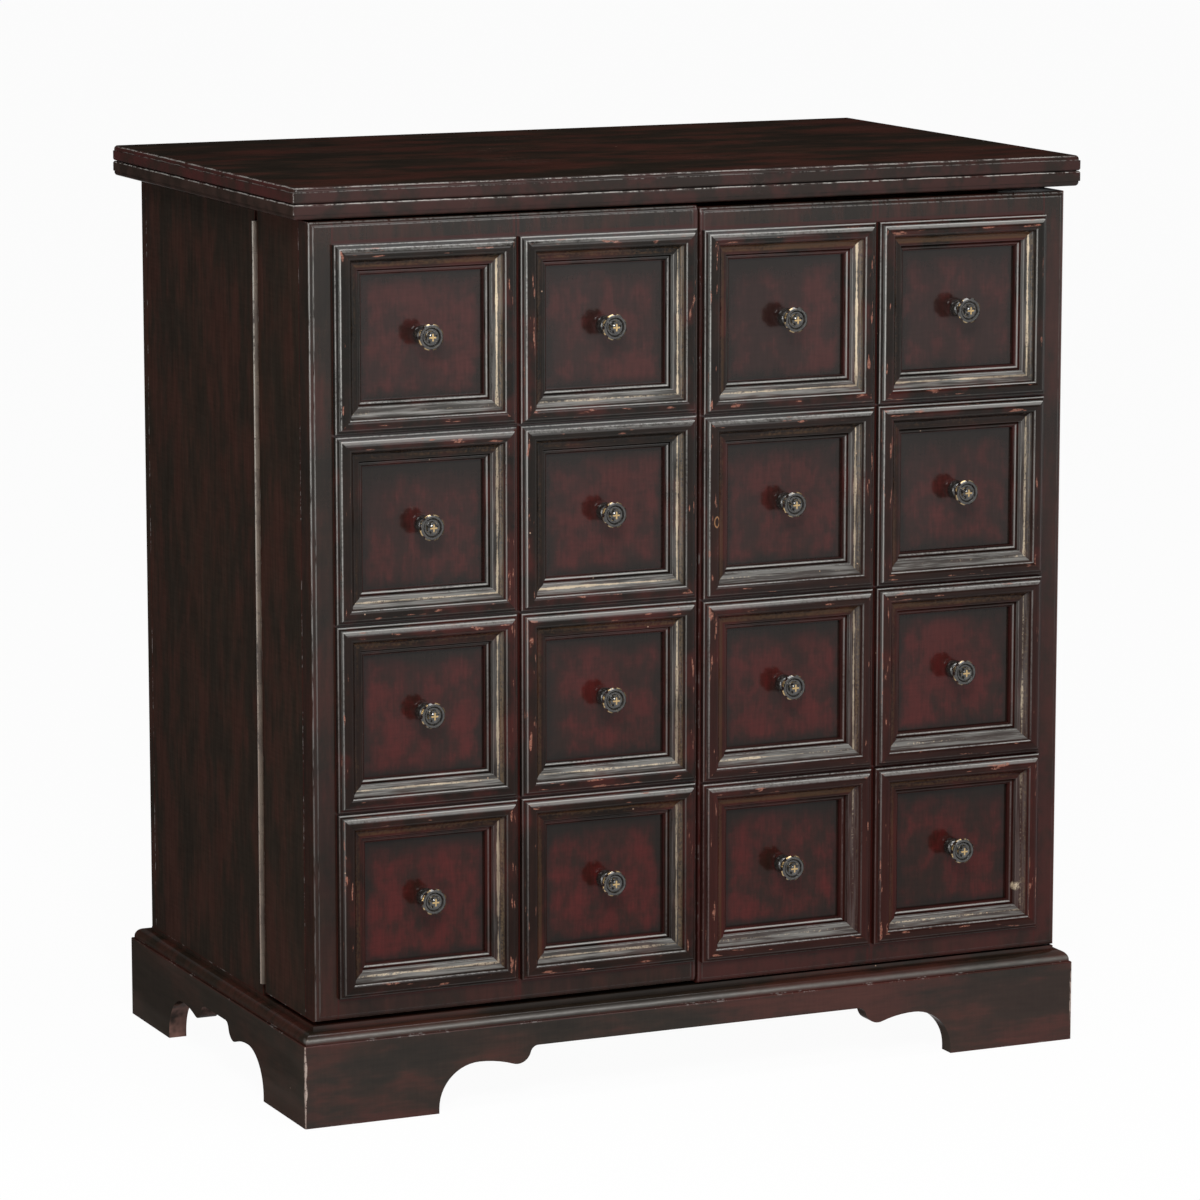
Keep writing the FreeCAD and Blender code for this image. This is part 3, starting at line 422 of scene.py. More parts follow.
def mouldingFinish():
    f = Finish("mouldingPaint")
    across, real, up = panelPlace(f)
    fromSide = grid["halfWidth"] - abs(across)
    fromEnd = grid["halfHeight"] - abs(up)
    depth = fromSide.atMost(fromEnd)
    level = fromEnd < fromSide            # upper and lower members
    onTop = level * (up > 0.0)
    onBottom = level * (up < 0.0)
    onRight = (1 - level) * (real > 0.0)
    onLeft = (1 - level) * (real < 0.0)

    def grain(along):
        # Brush, fibre, cloud and dash along one direction
        waves = [f.noise(mouldingPaint[kind], detail, 0.62, along)
                 for kind, detail in (("brush", 3.0), ("fibre", 2.0), ("cloud", 3.0))]
        shorter = tuple(max(share, 0.18) for share in along)
        return waves + [f.noise(mouldingPaint["brush"], 2.0, 0.5, shorter)]

    brush, fibre, cloud, dash = [level * flat + (1 - level) * tall
                                 for flat, tall in zip(grain((0.05, 1, 1)), grain((1, 1, 0.05)))]
    patch = f.noise(mouldingPaint["patch"], 4.0, 0.62)
    ragged = f.noise(mouldingPaint["ragged"], 3.0, 0.75)
    lit = f.z.rise(0.1, 1.0)
    fade = level + (1 - level) * (0.15 + lit * 0.85)      # upright members are duller lower down
    colour = f.mix(patch.rise(0.35, 0.65), mouldingPaint["dark"], mouldingPaint["brown"])
    colour = f.mix((patch * 0.5 + cloud * 0.5).rise(0.48, 0.62) * 0.7, colour, mouldingPaint["red"])
    warmth = (1 - lit) * (0.15 + (f.x > 0.0) * 0.4) * (onLeft + onRight + onTop * 0.6 + onBottom * 0.6)
    colour = f.mix(warmth, colour, paint["warm"])
    colour = f.shade(colour, 0.78 + (brush - 0.5) * 0.9 + fibre * 0.4)
    # Coves and flats that look up or left are streaked grey, with ragged cream and gold in the coves, partly
    # rubbed paint and partly painted highlight of the lamps; the others are amber
    catching = cloud * 0.6 + ragged * 0.4
    streak = (brush * 0.7 + fibre * 0.3).rise(0.42, 0.60)
    amber = depth.span(*member["amber"]) * (onTop * 0.9 + onLeft * 0.5)
    amber = amber * (catching + (brush - 0.5) * 0.3).rise(0.44, 0.58) * 0.7
    colour = f.mix(amber, colour, mouldingPaint["amber"])
    grey = depth.span(*member["cove"]) + depth.span(*member["flat"])
    grey = grey * (onBottom * 0.95 + onRight * 0.5 * (0.4 + lit * 0.6))
    colour = f.mix(grey * (0.25 + streak * 0.75), colour, mouldingPaint["grey"])
    gold = depth.span(*member["gold"]) * onRight * (cloud * 0.5 + ragged * 0.5).rise(0.44, 0.56)
    colour = f.mix(gold * 0.35, colour, mouldingPaint["gold"])
    middle = member["creamLine"] + (cloud - 0.5) * 0.004
    reach = 0.0002 + (patch - 0.38).atLeast(0.0) * 0.0055
    line = (abs(depth - middle) + (ragged - 0.5) * 0.0022 - reach).fall(-0.0004, 0.0006)
    patchy = (onRight * catching.rise(0.40, 0.50) * (0.4 + lit * 0.6)
              + onBottom * catching.rise(0.46, 0.55) * 0.8)
    cream = line * patchy * depth.span(*member["cream"]) * (0.45 + 0.55 * streak)
    colour = f.mix(cream, colour, paint["cream"])
    # Arrises silver along their length, partly rubbed wear and partly painted highlight where they face
    # the lamps, fainter lower down on the uprights
    sharp = (cloud * 0.35 + ragged * 0.3 + brush * 0.35).rise(0.34, 0.52)
    arris = depth.near(*member["arris"]) * (onLeft * 0.6 + onTop * 0.8 + 0.1)
    step = depth.near(*member["step"]) * (onLeft + onTop + 0.1)
    brow = depth.span(*member["brow"]) * onTop * 0.45
    shoulder = depth.near(*member["shoulder"]) * (onRight * 0.75 + onBottom + 0.08)
    lip = depth.near(*member["lip"]) * (onRight * 0.6 + onBottom * 0.8 + 0.05)
    bead = depth.near(*member["bead"]) * (onRight * 0.7 + onBottom * 0.95 + 0.06)
    silver = arris.atLeast(step).atLeast(brow).atLeast(shoulder).atLeast(lip).atLeast(bead).atMost(1.0)
    silver = silver * sharp * fade
    colour = f.mix(silver * 0.9, colour, paint["silver"])
    # The lip's wall down to the panel is deep red, lighter than the moulding: partly its own red,
    # partly painted light softening the shade in that recess
    colour = f.mix(depth.rise(*member["wall"]) * 0.8, colour, mouldingPaint["wall"])
    # Long chips with slanting scratches on the crowns
    spot = (dash * 0.75 + patch * 0.25).rise(0.605, 0.65)
    slope = level * (f.x * 0.94 + f.z * 0.35) + (1 - level) * (f.x * 0.35 + f.z * 0.94)
    slant = f.maths("SINE", slope * mouldingPaint["scratches"] + (cloud - 0.5) * 14.0).rise(0.3, 1.0)
    chips = depth.span(*member["crown"]) * spot * ragged.rise(0.36, 0.52)
    bare = f.mix(slant, mouldingPaint["chip"], paint["speck"])
    colour = f.mix(chips * 0.75, colour, bare)
    spots = f.specks(mouldingPaint["specksPerMetre"], mouldingPaint["speckSize"], 0.35)
    colour = f.mix(spots * 0.7, colour, paint["speck"])
    right, above = fromMark(f, marks["ring"])
    oval = (right / marks["ring"]["halfWidth"]) ** 2.0 + (above / marks["ring"]["halfHeight"]) ** 2.0
    ring = oval.near(1.0, marks["ring"]["band"])
    right, above = fromMark(f, marks["spot"])
    spotted = ((right ** 2.0 + above ** 2.0) ** 0.5).fall(marks["spot"]["core"], marks["spot"]["reach"])
    colour = f.mix(ring * 0.75, colour, mouldingPaint["ring"])
    colour = f.mix(spotted * ragged.rise(0.35, 0.55) * 0.8, colour, paint["cream"])
    f.feed(f.shader.inputs["Coat Weight"], mouldingPaint["dullCoat"] + lit * mouldingPaint["addedCoat"])
    rough = mouldingPaint["roughness"] + (patch - 0.5) * 0.12 + cream * 0.3 + silver * 0.05
    relief = brush * 0.4 + fibre * 0.5 - chips * slant - ring * 0.8
    return f.finish(colour, rough, relief, mouldingPaint["relief"],
                    **{"Specular IOR Level": 0.03, "Coat Roughness": 0.08})


# The two leaves of the top

topPaint = {
    "front": ((0.0175, 0.0120, 0.0098), (0.032, 0.0138, 0.0118)),
    "upperFlank": ((0.030, 0.016, 0.013), (0.050, 0.016, 0.0145)),
    "lowerFlank": ((0.020, 0.0135, 0.0105), (0.034, 0.020, 0.016)),
    "line": (0.40, 0.385, 0.36), "scratch": (0.16, 0.13, 0.11),
    "arris": (0.0010, 0.0009), "secondLine": (0.0054, 0.0008), "corner": (0.0008, 0.0020),
    "rim": (0.003, 0.006), "upperLines": 0.55, "lowerLines": 0.75, "sheen": 0.3, "coat": 0.3,
}


def topFinish(name, low, high, upper):
    def leaf(f, colour, relief):
        # Long soft streaks, pale wavy lines along the arrises and at the corners, partly rubbed wear and
        # partly painted highlight, and fine scratches
        streak = f.noise(9.0, 4.0, 0.6, (0.25, 1.4, 1))
        blotch = f.noise(30.0, 3.0, 0.6)
        colour = f.shade(colour, 0.7 + streak * 0.5)
        wave = f.noise(26.0, 3.0, 0.7, (1, 1, 0.0))
        fray = f.noise(220.0, 2.0, 0.7)
        fromSide = (f.x - low[0]).atMost(high[0] - f.x)
        fromFront = f.y - low[1]
        edgeFace = fromSide.atMost(fromFront).fall(*topPaint["rim"])
        front = f.mix(blotch.rise(0.4, 0.6), *topPaint["front"])
        flank = f.mix(blotch.rise(0.35, 0.65), *topPaint["upperFlank" if upper else "lowerFlank"])
        colour = f.mix(edgeFace, colour, f.mix(f.sideways, front, flank))
        down = high[2] - f.z + (wave - 0.5) * 0.0022
        broken = (wave * 0.6 + fray * 0.4).rise(0.42, 0.54)
        line = down.near(*topPaint["arris"]) * topPaint["upperLines" if upper else "lowerLines"]
        if upper:
            line = line.atLeast(down.near(*topPaint["secondLine"]) * 0.3)
        line = line * edgeFace * broken
        corner = fromSide.fall(*topPaint["corner"]) * fromFront.fall(*topPaint["corner"])
        corner = corner * fray.rise(0.4, 0.55)
        colour = f.mix(line.atLeast(corner * 0.6), colour, topPaint["line"])
        scratch = f.noise(95.0, 2.0, 0.9, (0.5, 1, 1), 1.5).near(0.5, 0.008)
        scratch = scratch * f.noise(11.0, 2.0, 0.5).rise(0.6, 0.7)
        colour = f.mix(scratch * 0.35, colour, topPaint["scratch"])
        return colour, relief

    return antique(name, (0.08, 1, 1), 0.35, low, high, edgeReach=0.0020, edgeWear=0.2,
                   sheen=topPaint["sheen"], coat=topPaint["coat"], extra=leaf)


# Plinth and deck

plinthBox = boxOf("plinth_left_side", "plinth_front", "plinth_right_side")
plinthPaint = {"pale": (0.45, 0.36, 0.31), "cutEnd": (0.20, 0.105, 0.085), "patch": (0.075, 0.016, 0.012),
               "wornFrom": 0.02, "wornTo": 0.085, "patches": 13.0}
deckPaint = {"streak": (0.145, 0.137, 0.127), "highlightPlace": (0.005, 0.004), "rubPlace": (0.0068, 0.0016),
             "front": (0.004, 0.012), "sheen": 0.28, "coat": 0.4}


def plinthFinish(name, along, redness, low, high, coat):
    # Front corners rubbed through to pale wood, most at mid height
    def corners(f, colour, relief):
        sway = f.noise(30.0, 3.0, 0.65)
        fray = f.noise(240.0, 2.0, 0.7)
        side = plinthBox[1][0] - abs(f.x)
        front = f.y - plinthBox[0][1]
        worn = f.z.span(plinthPaint["wornFrom"], plinthPaint["wornTo"], 0.02) * sway.rise(0.35, 0.65)
        pale = (side.atLeast(front) - (0.0010 + worn * 0.0020) + (fray - 0.5) * 0.002).fall(-0.0006, 0.0008)
        colour = f.mix(pale * 0.7 * fray.rise(0.36, 0.5), colour, plinthPaint["pale"])
        cutEnd = (0 - f.facingY).rise(0.5, 0.8) * front.rise(0.04, 0.05)    # rear walls of the side arches
        colour = f.mix(cutEnd * sway.rise(0.3, 0.6) * 0.9, colour, plinthPaint["cutEnd"])
        mottling = f.noise(plinthPaint["patches"], 3.0, 0.6, along)
        patched = mottling.rise(0.52, 0.60) * 0.2 * redness
        colour = f.mix(patched, f.shade(colour, 0.5 + mottling), plinthPaint["patch"])
        # Sides are paler in patches: painted light on the plinth's sides
        colour = f.mix(f.sideways * (0.25 + mottling.rise(0.4, 0.6) * 0.35), colour, paint["sideLight"])
        return colour, relief - pale

    return antique(name, along, redness, low, high, edgeReach=0.0018, edgeWear=0.12, coat=coat,
                   extra=corners)


def deckFinish(low, high):
    # A grey streak, a painted highlight, runs along the front of the moulded edge, with a few white rubs
    def moulded(f, colour, relief):
        run = f.noise(20.0, 3.0, 0.6, (0.3, 1, 1))
        fray = f.noise(240.0, 2.0, 0.7, (0.3, 1, 1))
        front = (f.y - low[1]).fall(*deckPaint["front"])
        streak = (f.z - low[2] + (run - 0.5) * 0.003).near(*deckPaint["highlightPlace"]) * front
        colour = f.mix(streak * (0.35 + fray * 0.6), colour, deckPaint["streak"])
        paleMark = (f.z - low[2]).near(*deckPaint["rubPlace"]) * front
        paleMark = paleMark * run.rise(0.60, 0.68) * fray.rise(0.45, 0.58)
        colour = f.mix(paleMark * 0.8, colour, paint["cream"])
        return colour, relief

    return antique("deckPaint", (0.1, 1, 1), 0.35, low, high, edgeReach=0.002, edgeWear=0.1,
                   coat=deckPaint["coat"], sheen=deckPaint["sheen"], extra=moulded)


# Hinges, knobs and pins

hingeMetal = {"dull": (0.050, 0.036, 0.028), "plain": (0.105, 0.078, 0.058), "lowHighlight": (0.24, 0.18, 0.14),
              "highHighlight": (0.42, 0.385, 0.33), "tarnish": (0.030, 0.021, 0.016), "highlightReach": (0.0002, 0.0010)}
steelTones = {"dark": (0.42, 0.41, 0.39), "light": (0.6, 0.59, 0.57)}
# Half width and radii of the brass on a knob; its depths are from the knobs' foremost point
knob = {
    "dark": (0.010, 0.009, 0.008), "grey": (0.032, 0.030, 0.027), "brass": (0.52, 0.35, 0.14),
    "crossHalf": (0.0006, 0.0012), "crossReach": (0.0038, 0.0048), "crossDepth": (0.0005, 0.0020),
    "rim": (0.0140, 0.0154, 0.0003), "ring": (0.0066, 0.0074, 0.0003), "petalDepth": (0.0070, 0.0100),
    "foremost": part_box("left_door_knobs")[0][1],
}


def hingeBrass():
    # Tarnished, with a painted highlight line where the knuckles stand out furthest from the seam, paler
    # higher up
    f = Finish("hingeBrass")
    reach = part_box("right_hinge_case_leaf")[1][0]
    dull = f.noise(45.0, 4.0, 0.65, (1, 1, 0.35))
    dark = f.noise(160.0, 3.0, 0.7)
    colour = f.mix(dull.rise(0.35, 0.65), hingeMetal["dull"], hingeMetal["plain"])
    paleEdge = (reach - abs(f.x)).fall(*hingeMetal["highlightReach"]) * (dull * 0.6 + dark * 0.4).rise(0.38, 0.50)
    bright = f.mix(f.z.rise(0.3, 0.9), hingeMetal["lowHighlight"], hingeMetal["highHighlight"])
    colour = f.mix(paleEdge * 0.85, colour, bright)
    colour = f.mix(dark.rise(0.60, 0.7) * 0.7, colour, hingeMetal["tarnish"])
    return f.finish(colour, 0.45 + (dark - 0.5) * 0.3, dull * 0.4 + dark * 0.6, 0.0001, Metallic=0.35)


def knobMetal():
    # Blackened casting; brass shows on the petals' rims, round the boss and on its cross
    f = Finish("knobMetal")
    across, _, up = panelPlace(f)
    radius = (across * across + up * up) ** 0.5
    behind = f.y - knob["foremost"]
    ragged = f.noise(330.0, 3.0, 0.7)
    broad = f.noise(90.0, 2.0, 0.6)
    petals = behind.fall(*knob["petalDepth"])
    cross = abs(across).atMost(abs(up)).fall(*knob["crossHalf"]) * radius.fall(*knob["crossReach"])
    cross = cross * behind.fall(*knob["crossDepth"])
    rim = radius.span(*knob["rim"]) * petals * (ragged * 0.55 + broad * 0.45).rise(0.46, 0.54)
    ring = radius.span(*knob["ring"]) * petals * ragged.rise(0.52, 0.62)
    brass = (cross * 0.9).atLeast(rim * 0.8).atLeast(ring * 0.6).atLeast(ragged.rise(0.68, 0.72) * 0.4)
    colour = f.mix(ragged.rise(0.35, 0.65), knob["dark"], knob["grey"])
    colour = f.mix(brass, colour, knob["brass"])
    f.feed(f.shader.inputs["Metallic"], 0.35 + brass * 0.5)
    return f.finish(colour, 0.22 + (ragged - 0.5) * 0.2, ragged, 0.0002,
                    **{"Coat Weight": 1.0, "Coat Roughness": 0.08})


def pinSteel(name):
    f = Finish(name)
    turned = f.noise(260.0, 3.0, 0.6, (1, 1, 0.05))
    colour = f.mix(turned, steelTones["dark"], steelTones["light"])
    return f.finish(colour, 0.28 + turned * 0.15, turned, 0.00004, Metallic=1.0)


# Inside, hidden and small pieces

bareTones = {"dark": (0.33, 0.19, 0.095), "middle": (0.47, 0.30, 0.165), "light": (0.58, 0.40, 0.24)}
plastic = {"catch": (0.055, 0.03, 0.02), "glide": (0.12, 0.11, 0.1)}


def insideStain(name, along):
    f = Finish(name)
    colour, relief, pores = stainColour(f, along)
    return f.finish(colour, 0.42 + (pores - 0.5) * 0.2, relief, stain["relief"],
                    **{"Specular IOR Level": 0.35})


def bareWood(name, along):
    f = Finish(name)
    grain = f.noise(22.0, 5.0, 0.62, along, 0.8)
    pores = f.noise(380.0, 2.0, 0.5, along)
    stops = ((0.2, bareTones["dark"]), (0.5, bareTones["middle"]), (0.8, bareTones["light"]))
    colour = f.shade(f.add("ShaderNodeValToRGB", {"stops": stops}, {0: grain}), 0.8 + pores * 0.4)
    return f.finish(colour, 0.62 + (pores - 0.5) * 0.2, grain * 0.3 + pores * 0.7, 0.00015)


def mouldedPlastic(name, base):
    f = Finish(name)
    pebble = f.noise(900.0, 2.0, 0.5)
    tone = f.noise(60.0, 2.0, 0.5)
    colour = f.mix(tone.rise(0.3, 0.7), tuple(c * 0.85 for c in base), tuple(c * 1.1 for c in base))
    return f.finish(colour, 0.5 + (pebble - 0.5) * 0.15, pebble, 0.00005)


# Every CAD node gets its finish; the brush ran upright, sideways or front to back

upright, sideways, lengthways = (1, 1, 0.1), (0.1, 1, 1), (1, 0.1, 1)

for name, isUpper in (("flip_top", True), ("fixed_top", False)):
    dress([name], topFinish(name + "Paint", *boxOf(name), isUpper))
for side in ("left", "right"):
    dress([side + "_door_front"], doorFace(side + "DoorPaint", *boxOf(side + "_door_front")))
    for node, label, inwards in ((side + "_door_side", "DoorSidePaint", -1),
                                 (side + "_door_stile", "StilePaint", 1),
                                 ("case_%s_side" % side, "CasePaint", -1)):
        dress([node], antique(side + label, upright, 0.35, *boxOf(node), edgeWear=0.25, coat=0.2, sheen=0.4,
                              inside=lambda f: (f.outwards * inwards).rise(0.5, 0.8)))
    node = "plinth_%s_side" % side
    dress([node], plinthFinish(side + "PlinthPaint", lengthways, 0.3, *boxOf(node), 0.2))
dress(["plinth_front"], plinthFinish("frontPlinthPaint", sideways, 0.42, *boxOf("plinth_front"), 0.46))
dress(["base_deck"], deckFinish(*boxOf("base_deck")))
dress(["case_back"], antique("backPaint", upright, 0.3, *boxOf("case_back"), edgeWear=0.3, coat=0.2,
                             sheen=0.45, inside=lambda f: (0 - f.facingY).rise(0.5, 0.8)))
dress([n for n in nodes if "_frame_row" in n], mouldingFinish())
dress([n for n in nodes if n.endswith("_door_knobs")], knobMetal())
dress([n for n in nodes if "hinge" in n and "pins" not in n], hingeBrass())
dress([n for n in nodes if n.endswith("hinge_pins") or n.endswith("door_strike")], pinSteel("pinSteel"))
dress(["bottle_dividers"], insideStain("insideStainUpright", upright))
stainAcross = insideStain("insideStainAcross", sideways)
dress(["case_bottom", "lower_shelf", "upper_shelf", "glass_rack_webs", "glass_rack_strips"], stainAcross)
dress([side + part for side in ("left", "right") for part in ("_door_ends", "_door_shelves", "_door_rails")],
      stainAcross)
dress(["case_top", "plinth_back_rail", "corner_blocks"], bareWood("bareWood", sideways))
dress(["magnetic_catches"], mouldedPlastic("catchPlastic", plastic["catch"]))
dress(["floor_glides"], mouldedPlastic("glidePlastic", plastic["glide"]))
print("finishes done")


# Screws of the hinges and knobs

screwSizes = {
    "doorHinge": {"radius": 0.0032, "rise": 0.0007, "pitch": 0.078, "fromEnds": 0.022,
                  "fromPlateEdge": 0.0068},
    "lidHinge": {"radius": 0.0030, "rise": 0.0003, "pitch": 0.0235, "fromPlateEdge": 0.0085,
                 "stagger": 0.006},
    "knob": {"radius": 0.0048, "rise": 0.0018},
}
plates = {"doorWidth": 0.009, "lidKnuckle": 0.012, "lidHalfLength": 0.030}    # the hinges' flat parts
head = {"sides": 16, "crown": 0.75, "slotLength": 1.15, "slotWidth": 0.24, "slotLift": 0.9}
facings = {"front": (math.pi / 2, 0, 0), "back": (-math.pi / 2, 0, 0),
           "up": (0, 0, 0), "down": (math.pi, 0, 0)}


def screwTree():
    # A low head with a cross recess on every point of the mesh
    tree = bpy.data.node_groups.new("screwHeads", "GeometryNodeTree")
    face = tree.interface
    face.new_socket("Places", in_out="INPUT", socket_type="NodeSocketGeometry")
    for name, kind in (("Head radius", "NodeSocketFloat"), ("Head rise", "NodeSocketFloat"),
                       ("Facing", "NodeSocketRotation"), ("Finish", "NodeSocketMaterial")):
        face.new_socket(name, in_out="INPUT", socket_type=kind)
    face.new_socket("Heads", in_out="OUTPUT", socket_type="NodeSocketGeometry")
    given = tree.nodes.new("NodeGroupInput")
    out = tree.nodes.new("NodeGroupOutput")
    radius, rise = given.outputs["Head radius"], given.outputs["Head rise"]

    def times(value, share):
        node = tree.nodes.new("ShaderNodeMath")
        node.operation = "MULTIPLY"
        node.inputs[1].default_value = share
        tree.links.new(value, node.inputs[0])
        return node.outputs[0]

    def vector(**values):
        node = tree.nodes.new("ShaderNodeCombineXYZ")
        for name, value in values.items():
            tree.links.new(value, node.inputs[name])
        return node.outputs[0]

    cone = tree.nodes.new("GeometryNodeMeshCone")
    cone.inputs["Vertices"].default_value = head["sides"]
    crown = times(radius, head["crown"])
    for name, value in (("Radius Top", crown), ("Radius Bottom", radius), ("Depth", rise)):
        tree.links.new(value, cone.inputs[name])
    notched = tree.nodes.new("GeometryNodeMeshBoolean")
    notched.operation = "DIFFERENCE"
    tree.links.new(cone.outputs["Mesh"], notched.inputs[0])
    long, short = head["slotLength"], head["slotWidth"]
    for longX, longY in ((long, short), (short, long)):
        bar = tree.nodes.new("GeometryNodeMeshCube")
        tree.links.new(vector(X=times(radius, longX), Y=times(radius, longY), Z=rise), bar.inputs["Size"])
        moved = tree.nodes.new("GeometryNodeTransform")
        tree.links.new(bar.outputs["Mesh"], moved.inputs["Geometry"])
        tree.links.new(vector(Z=times(rise, head["slotLift"])), moved.inputs["Translation"])
        tree.links.new(moved.outputs[0], notched.inputs[1])
    placed = tree.nodes.new("GeometryNodeInstanceOnPoints")
    tree.links.new(given.outputs["Places"], placed.inputs["Points"])
    tree.links.new(notched.outputs[0], placed.inputs["Instance"])
    tree.links.new(given.outputs["Facing"], placed.inputs["Rotation"])
    realised = tree.nodes.new("GeometryNodeRealizeInstances")
    tree.links.new(placed.outputs[0], realised.inputs[0])
    coated = tree.nodes.new("GeometryNodeSetMaterial")
    tree.links.new(realised.outputs[0], coated.inputs["Geometry"])
    tree.links.new(given.outputs["Finish"], coated.inputs["Material"])
    tree.links.new(coated.outputs[0], out.inputs[0])
    return tree


def addScrews(name, body, kind, facing, places):
    mesh = bpy.data.meshes.new(name + "Places")
    mesh.from_pydata(places, [], [])
    piece = bpy.data.objects.new(name, mesh)
    scene.collection.objects.link(piece)
    modifier = piece.modifiers.new("heads", "NODES")
    modifier.node_group = screws
    sizes = {"Head radius": screwSizes[kind]["radius"], "Head rise": screwSizes[kind]["rise"],
             "Facing": facings[facing], "Finish": steel}
    for item in screws.interface.items_tree:
        if item.in_out == "INPUT" and item.name in sizes:
            modifier[item.identifier] = sizes[item.name]
    plain = bpy.data.meshes.new_from_object(piece.evaluated_get(bpy.context.evaluated_depsgraph_get()))
    piece.modifiers.clear()
    piece.data = plain
    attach(piece, body)
    print(name, len(places), "heads", len(plain.polygons), "faces")


def plateOf(name, axis, across, limit):
    # Lowest and highest place along axis of a hinge's flat plate, which ends at limit on the axis across
    values = [vertex.co[axis] for vertex in nodes[name].data.vertices if abs(vertex.co[across]) < limit]
    return min(values), max(values)


def hingeRow(name, face):
    # Places up the middle of a door hinge's leaf, at an even pitch
    low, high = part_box(name)
    sizes = screwSizes["doorHinge"]
    across = min(abs(low[0]), abs(high[0])) + sizes["fromPlateEdge"]
    if high[0] < 0:
        across = -across
    run = high[2] - low[2] - 2 * sizes["fromEnds"]
    gaps = round(run / sizes["pitch"])
    return [(across, face, low[2] + sizes["fromEnds"] + run / gaps * index) for index in range(gaps + 1)]


screws = screwTree()
steel = pinSteel("screwSteel")
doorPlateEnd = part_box("right_hinge_case_leaf")[0][0] + plates["doorWidth"]
caseFace = plateOf("right_hinge_case_leaf", 1, 0, doorPlateEnd)[0]
leafFace = plateOf("right_hinge_door_leaf", 1, 0, doorPlateEnd)[1]
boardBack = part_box("left_door_front")[1][1]
addScrews("caseHingeScrews", "cabinet", "doorHinge", "front",
          hingeRow("left_hinge_case_leaf", caseFace) + hingeRow("right_hinge_case_leaf", caseFace))
for side, sign, drop in (("left", -1, 0), ("right", 1, grid["rightDrop"])):
    addScrews(side + "DoorHingeScrews", side + "_door", "doorHinge", "back",
              hingeRow(side + "_hinge_door_leaf", leafFace))
    addScrews(side + "KnobScrews", side + "_door", "knob", "back",
              [(sign * (grid["column"] + column * grid["columnPitch"]), boardBack,
                grid["row"] - drop + row * grid["rowPitch"]) for column in range(2) for row in range(4)])

lidLow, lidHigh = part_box("lid_hinge_lower_leaves")
lidSizes = screwSizes["lidHinge"]
lidPlaces = [(middle + step * lidSizes["pitch"],
              lidLow[1] + lidSizes["fromPlateEdge"] + (lidSizes["stagger"] if step == 0 else 0))
             for middle in (lidLow[0] + plates["lidHalfLength"], 0, lidHigh[0] - plates["lidHalfLength"])
             for step in (-1, 0, 1)]
lidPlateEnd = lidHigh[1] - plates["lidKnuckle"]
lowerFace = plateOf("lid_hinge_lower_leaves", 2, 1, lidPlateEnd)[1]
upperFace = plateOf("lid_hinge_upper_leaves", 2, 1, lidPlateEnd)[0]
addScrews("lowerLidScrews", "cabinet", "lidHinge", "up", [(x, y, lowerFace) for x, y in lidPlaces])
addScrews("upperLidScrews", "top_leaf", "lidHinge", "down", [(x, y, upperFace) for x, y in lidPlaces])
print("screws done")


# Camera at the photograph's place and angle; focal and below are in the photograph's pixels

camera = {
    "place": (-2.6112, -5.7770, 1.6257), "forward": (0.41182, 0.91126, -0.00158),
    "up": (-0.0041, 0.0036, 1.0), "focal": 5228.8, "below": 898.2, "stretch": 1.0224,
    "frame": 1200, "sensor": 36, "clip": (0.1, 200),
}


def makeCamera():
    data = bpy.data.cameras.new("studioCamera")
    shooter = bpy.data.objects.new("studioCamera", data)
    scene.collection.objects.link(shooter)
    aim = Vector(camera["forward"]) * camera["focal"] - Vector(camera["up"]) * camera["below"]
    shooter.location = camera["place"]
    shooter.rotation_mode = "QUATERNION"
    shooter.rotation_quaternion = aim.to_track_quat("-Z", "Y")
    data.sensor_width = camera["sensor"]
    data.lens = camera["focal"] * camera["stretch"] / camera["frame"] * data.sensor_width
    data.clip_start, data.clip_end = camera["clip"]
    scene.camera = shooter


makeCamera()


# Floor, lamps and the light of the room

studio = {
    "floorReach": 40, "floorColour": (0.82, 0.82, 0.82), "floorWhite": 0.96,
    "room": 0.3, "lowRoom": 0.02, "whiteFrom": 0.3, "whiteTo": 0.75,
    "lamps": {
        "key": {"place": (-1.5, -3.6, 3.1), "aim": (0, -0.2, 0.55), "size": (1.2, 1.2), "power": 160},
        "overhead": {"place": (0.4, -1.0, 3.4), "aim": (0, -0.1, 0.8), "size": (2.2, 1.0), "power": 35},
        "left": {"place": (-3.2, -1.2, 1.0), "aim": (0, -0.2, 0.6), "size": (0.6, 2.0), "power": 23},
        "front": {"place": (1.5, -4.8, 1.6), "aim": (0, -0.2, 0.5), "size": (1.6, 1.6), "power": 40},
    },
}


def mathsNode(tree, operation, *values):
    # A Math node fed by links or numbers
    node = tree.nodes.new("ShaderNodeMath")
    node.operation = operation
    for index, value in enumerate(values):
        if isinstance(value, (int, float)):
            node.inputs[index].default_value = value
        else:
            tree.links.new(value, node.inputs[index])
    return node.outputs[0]


def lightPath(tree):
    # 1 for rays straight from the camera or let through a piece, and 1 for rays off a gloss
    path = tree.nodes.new("ShaderNodeLightPath").outputs
    seen = mathsNode(tree, "MAXIMUM", path["Is Camera Ray"], path["Is Transmission Ray"])
    return seen, path["Is Glossy Ray"]


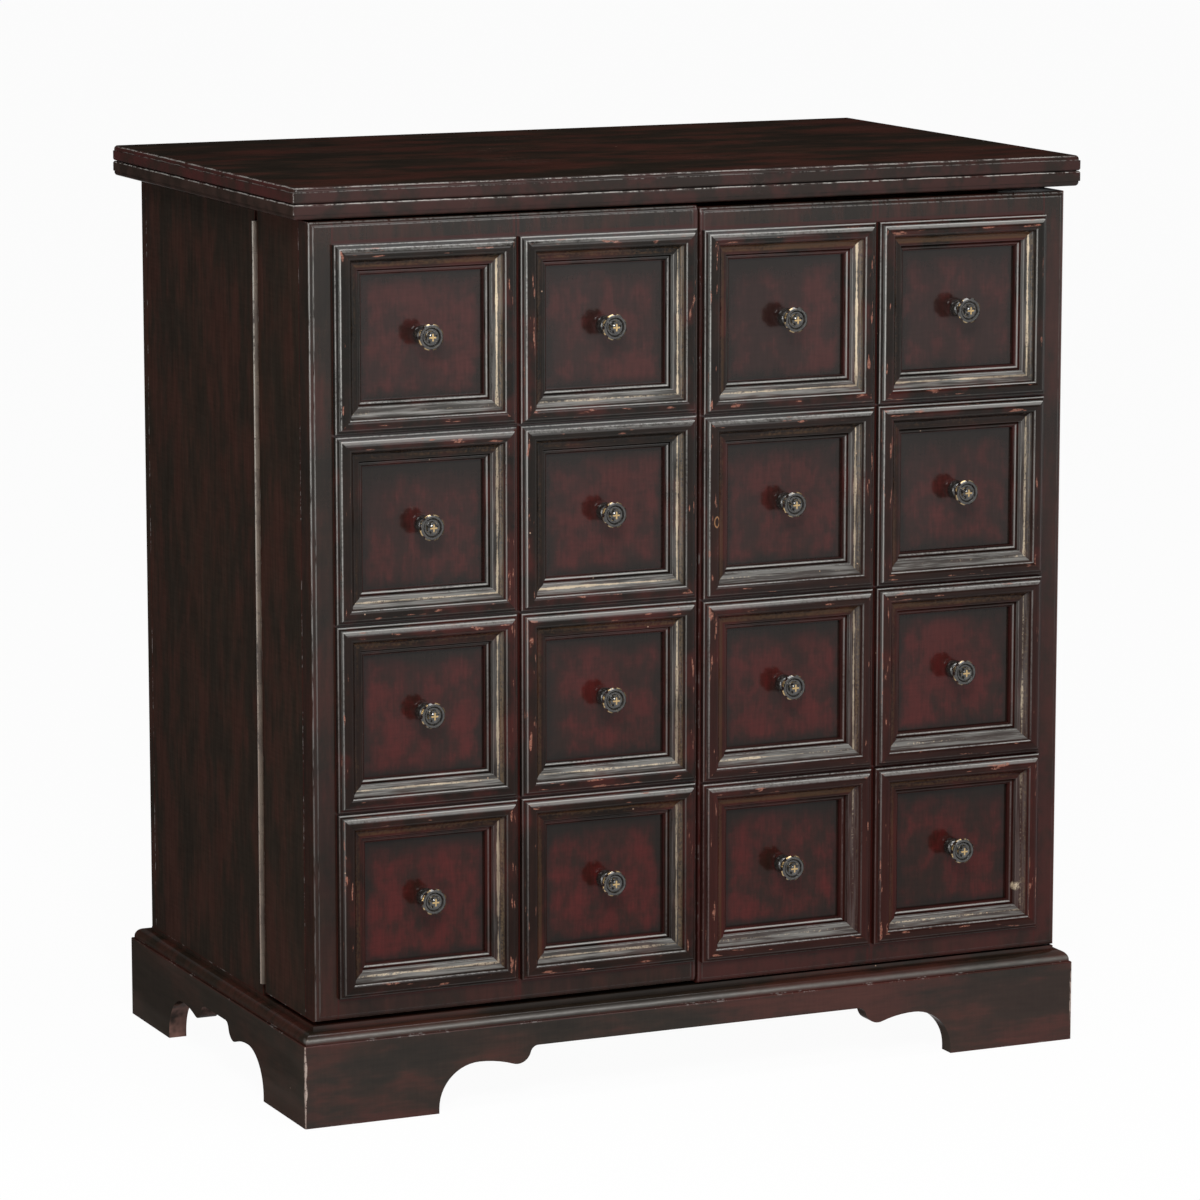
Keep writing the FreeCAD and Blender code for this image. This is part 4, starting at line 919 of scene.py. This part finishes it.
def makeStudio():
    # The floor looks white and still takes the object's shadow
    bm = bmesh.new()
    reach = studio["floorReach"]
    bm.faces.new([bm.verts.new((x * reach, y * reach, 0)) for x, y in ((-1, -1), (1, -1), (1, 1), (-1, 1))])
    mesh = bpy.data.meshes.new("floor")
    bm.to_mesh(mesh)
    bm.free()
    floor = bpy.data.objects.new("floor", mesh)
    scene.collection.objects.link(floor)
    material = bpy.data.materials.new("paleFloor")
    material.use_nodes = True
    tree = material.node_tree
    tree.nodes.clear()
    pale = tree.nodes.new("ShaderNodeBsdfDiffuse")
    pale.inputs[0].default_value = (*studio["floorColour"], 1)
    white = tree.nodes.new("ShaderNodeEmission")
    seen, glossy = lightPath(tree)
    share = mathsNode(tree, "MULTIPLY", mathsNode(tree, "MAXIMUM", seen, glossy), studio["floorWhite"])
    blend = tree.nodes.new("ShaderNodeMixShader")
    for index, value in enumerate((share, pale.outputs[0], white.outputs[0])):
        tree.links.new(value, blend.inputs[index])
    output = tree.nodes.new("ShaderNodeOutputMaterial")
    tree.links.new(blend.outputs[0], output.inputs["Surface"])
    mesh.materials.append(material)
    for name, spec in studio["lamps"].items():
        data = bpy.data.lights.new(name + "Softbox", "AREA")
        data.shape = "RECTANGLE"
        data.size, data.size_y = spec["size"]
        data.energy = spec["power"]
        lamp = bpy.data.objects.new(name + "Softbox", data)
        lamp.location = spec["place"]
        lamp.rotation_mode = "QUATERNION"
        lamp.rotation_quaternion = (Vector(spec["aim"]) - Vector(spec["place"])).to_track_quat("-Z", "Y")
        scene.collection.objects.link(lamp)


def makeRoom():
    # White behind the object; polished wood sees the white of the upper room and a dim wall low down
    world = bpy.data.worlds.new("room")
    scene.world = world
    world.use_nodes = True
    tree = world.node_tree
    tree.nodes.clear()
    seen, glossy = lightPath(tree)
    heading = tree.nodes.new("ShaderNodeTexCoord")
    parts = tree.nodes.new("ShaderNodeSeparateXYZ")
    tree.links.new(heading.outputs["Generated"], parts.inputs[0])
    upper = tree.nodes.new("ShaderNodeMapRange")
    for index, value in enumerate((studio["whiteFrom"], studio["whiteTo"], studio["lowRoom"], 1.0)):
        upper.inputs[index + 1].default_value = value
    tree.links.new(parts.outputs["Z"], upper.inputs[0])
    shown = mathsNode(tree, "MAXIMUM", seen, mathsNode(tree, "MULTIPLY", glossy, upper.outputs[0]))
    ambient = mathsNode(tree, "MULTIPLY", mathsNode(tree, "SUBTRACT", 1.0, glossy), studio["room"])
    glow = tree.nodes.new("ShaderNodeBackground")
    tree.links.new(mathsNode(tree, "MAXIMUM", shown, ambient), glow.inputs["Strength"])
    output = tree.nodes.new("ShaderNodeOutputWorld")
    tree.links.new(glow.outputs[0], output.inputs["Surface"])


makeStudio()
makeRoom()
scene.view_settings.view_transform = "Standard"
print("studio done")
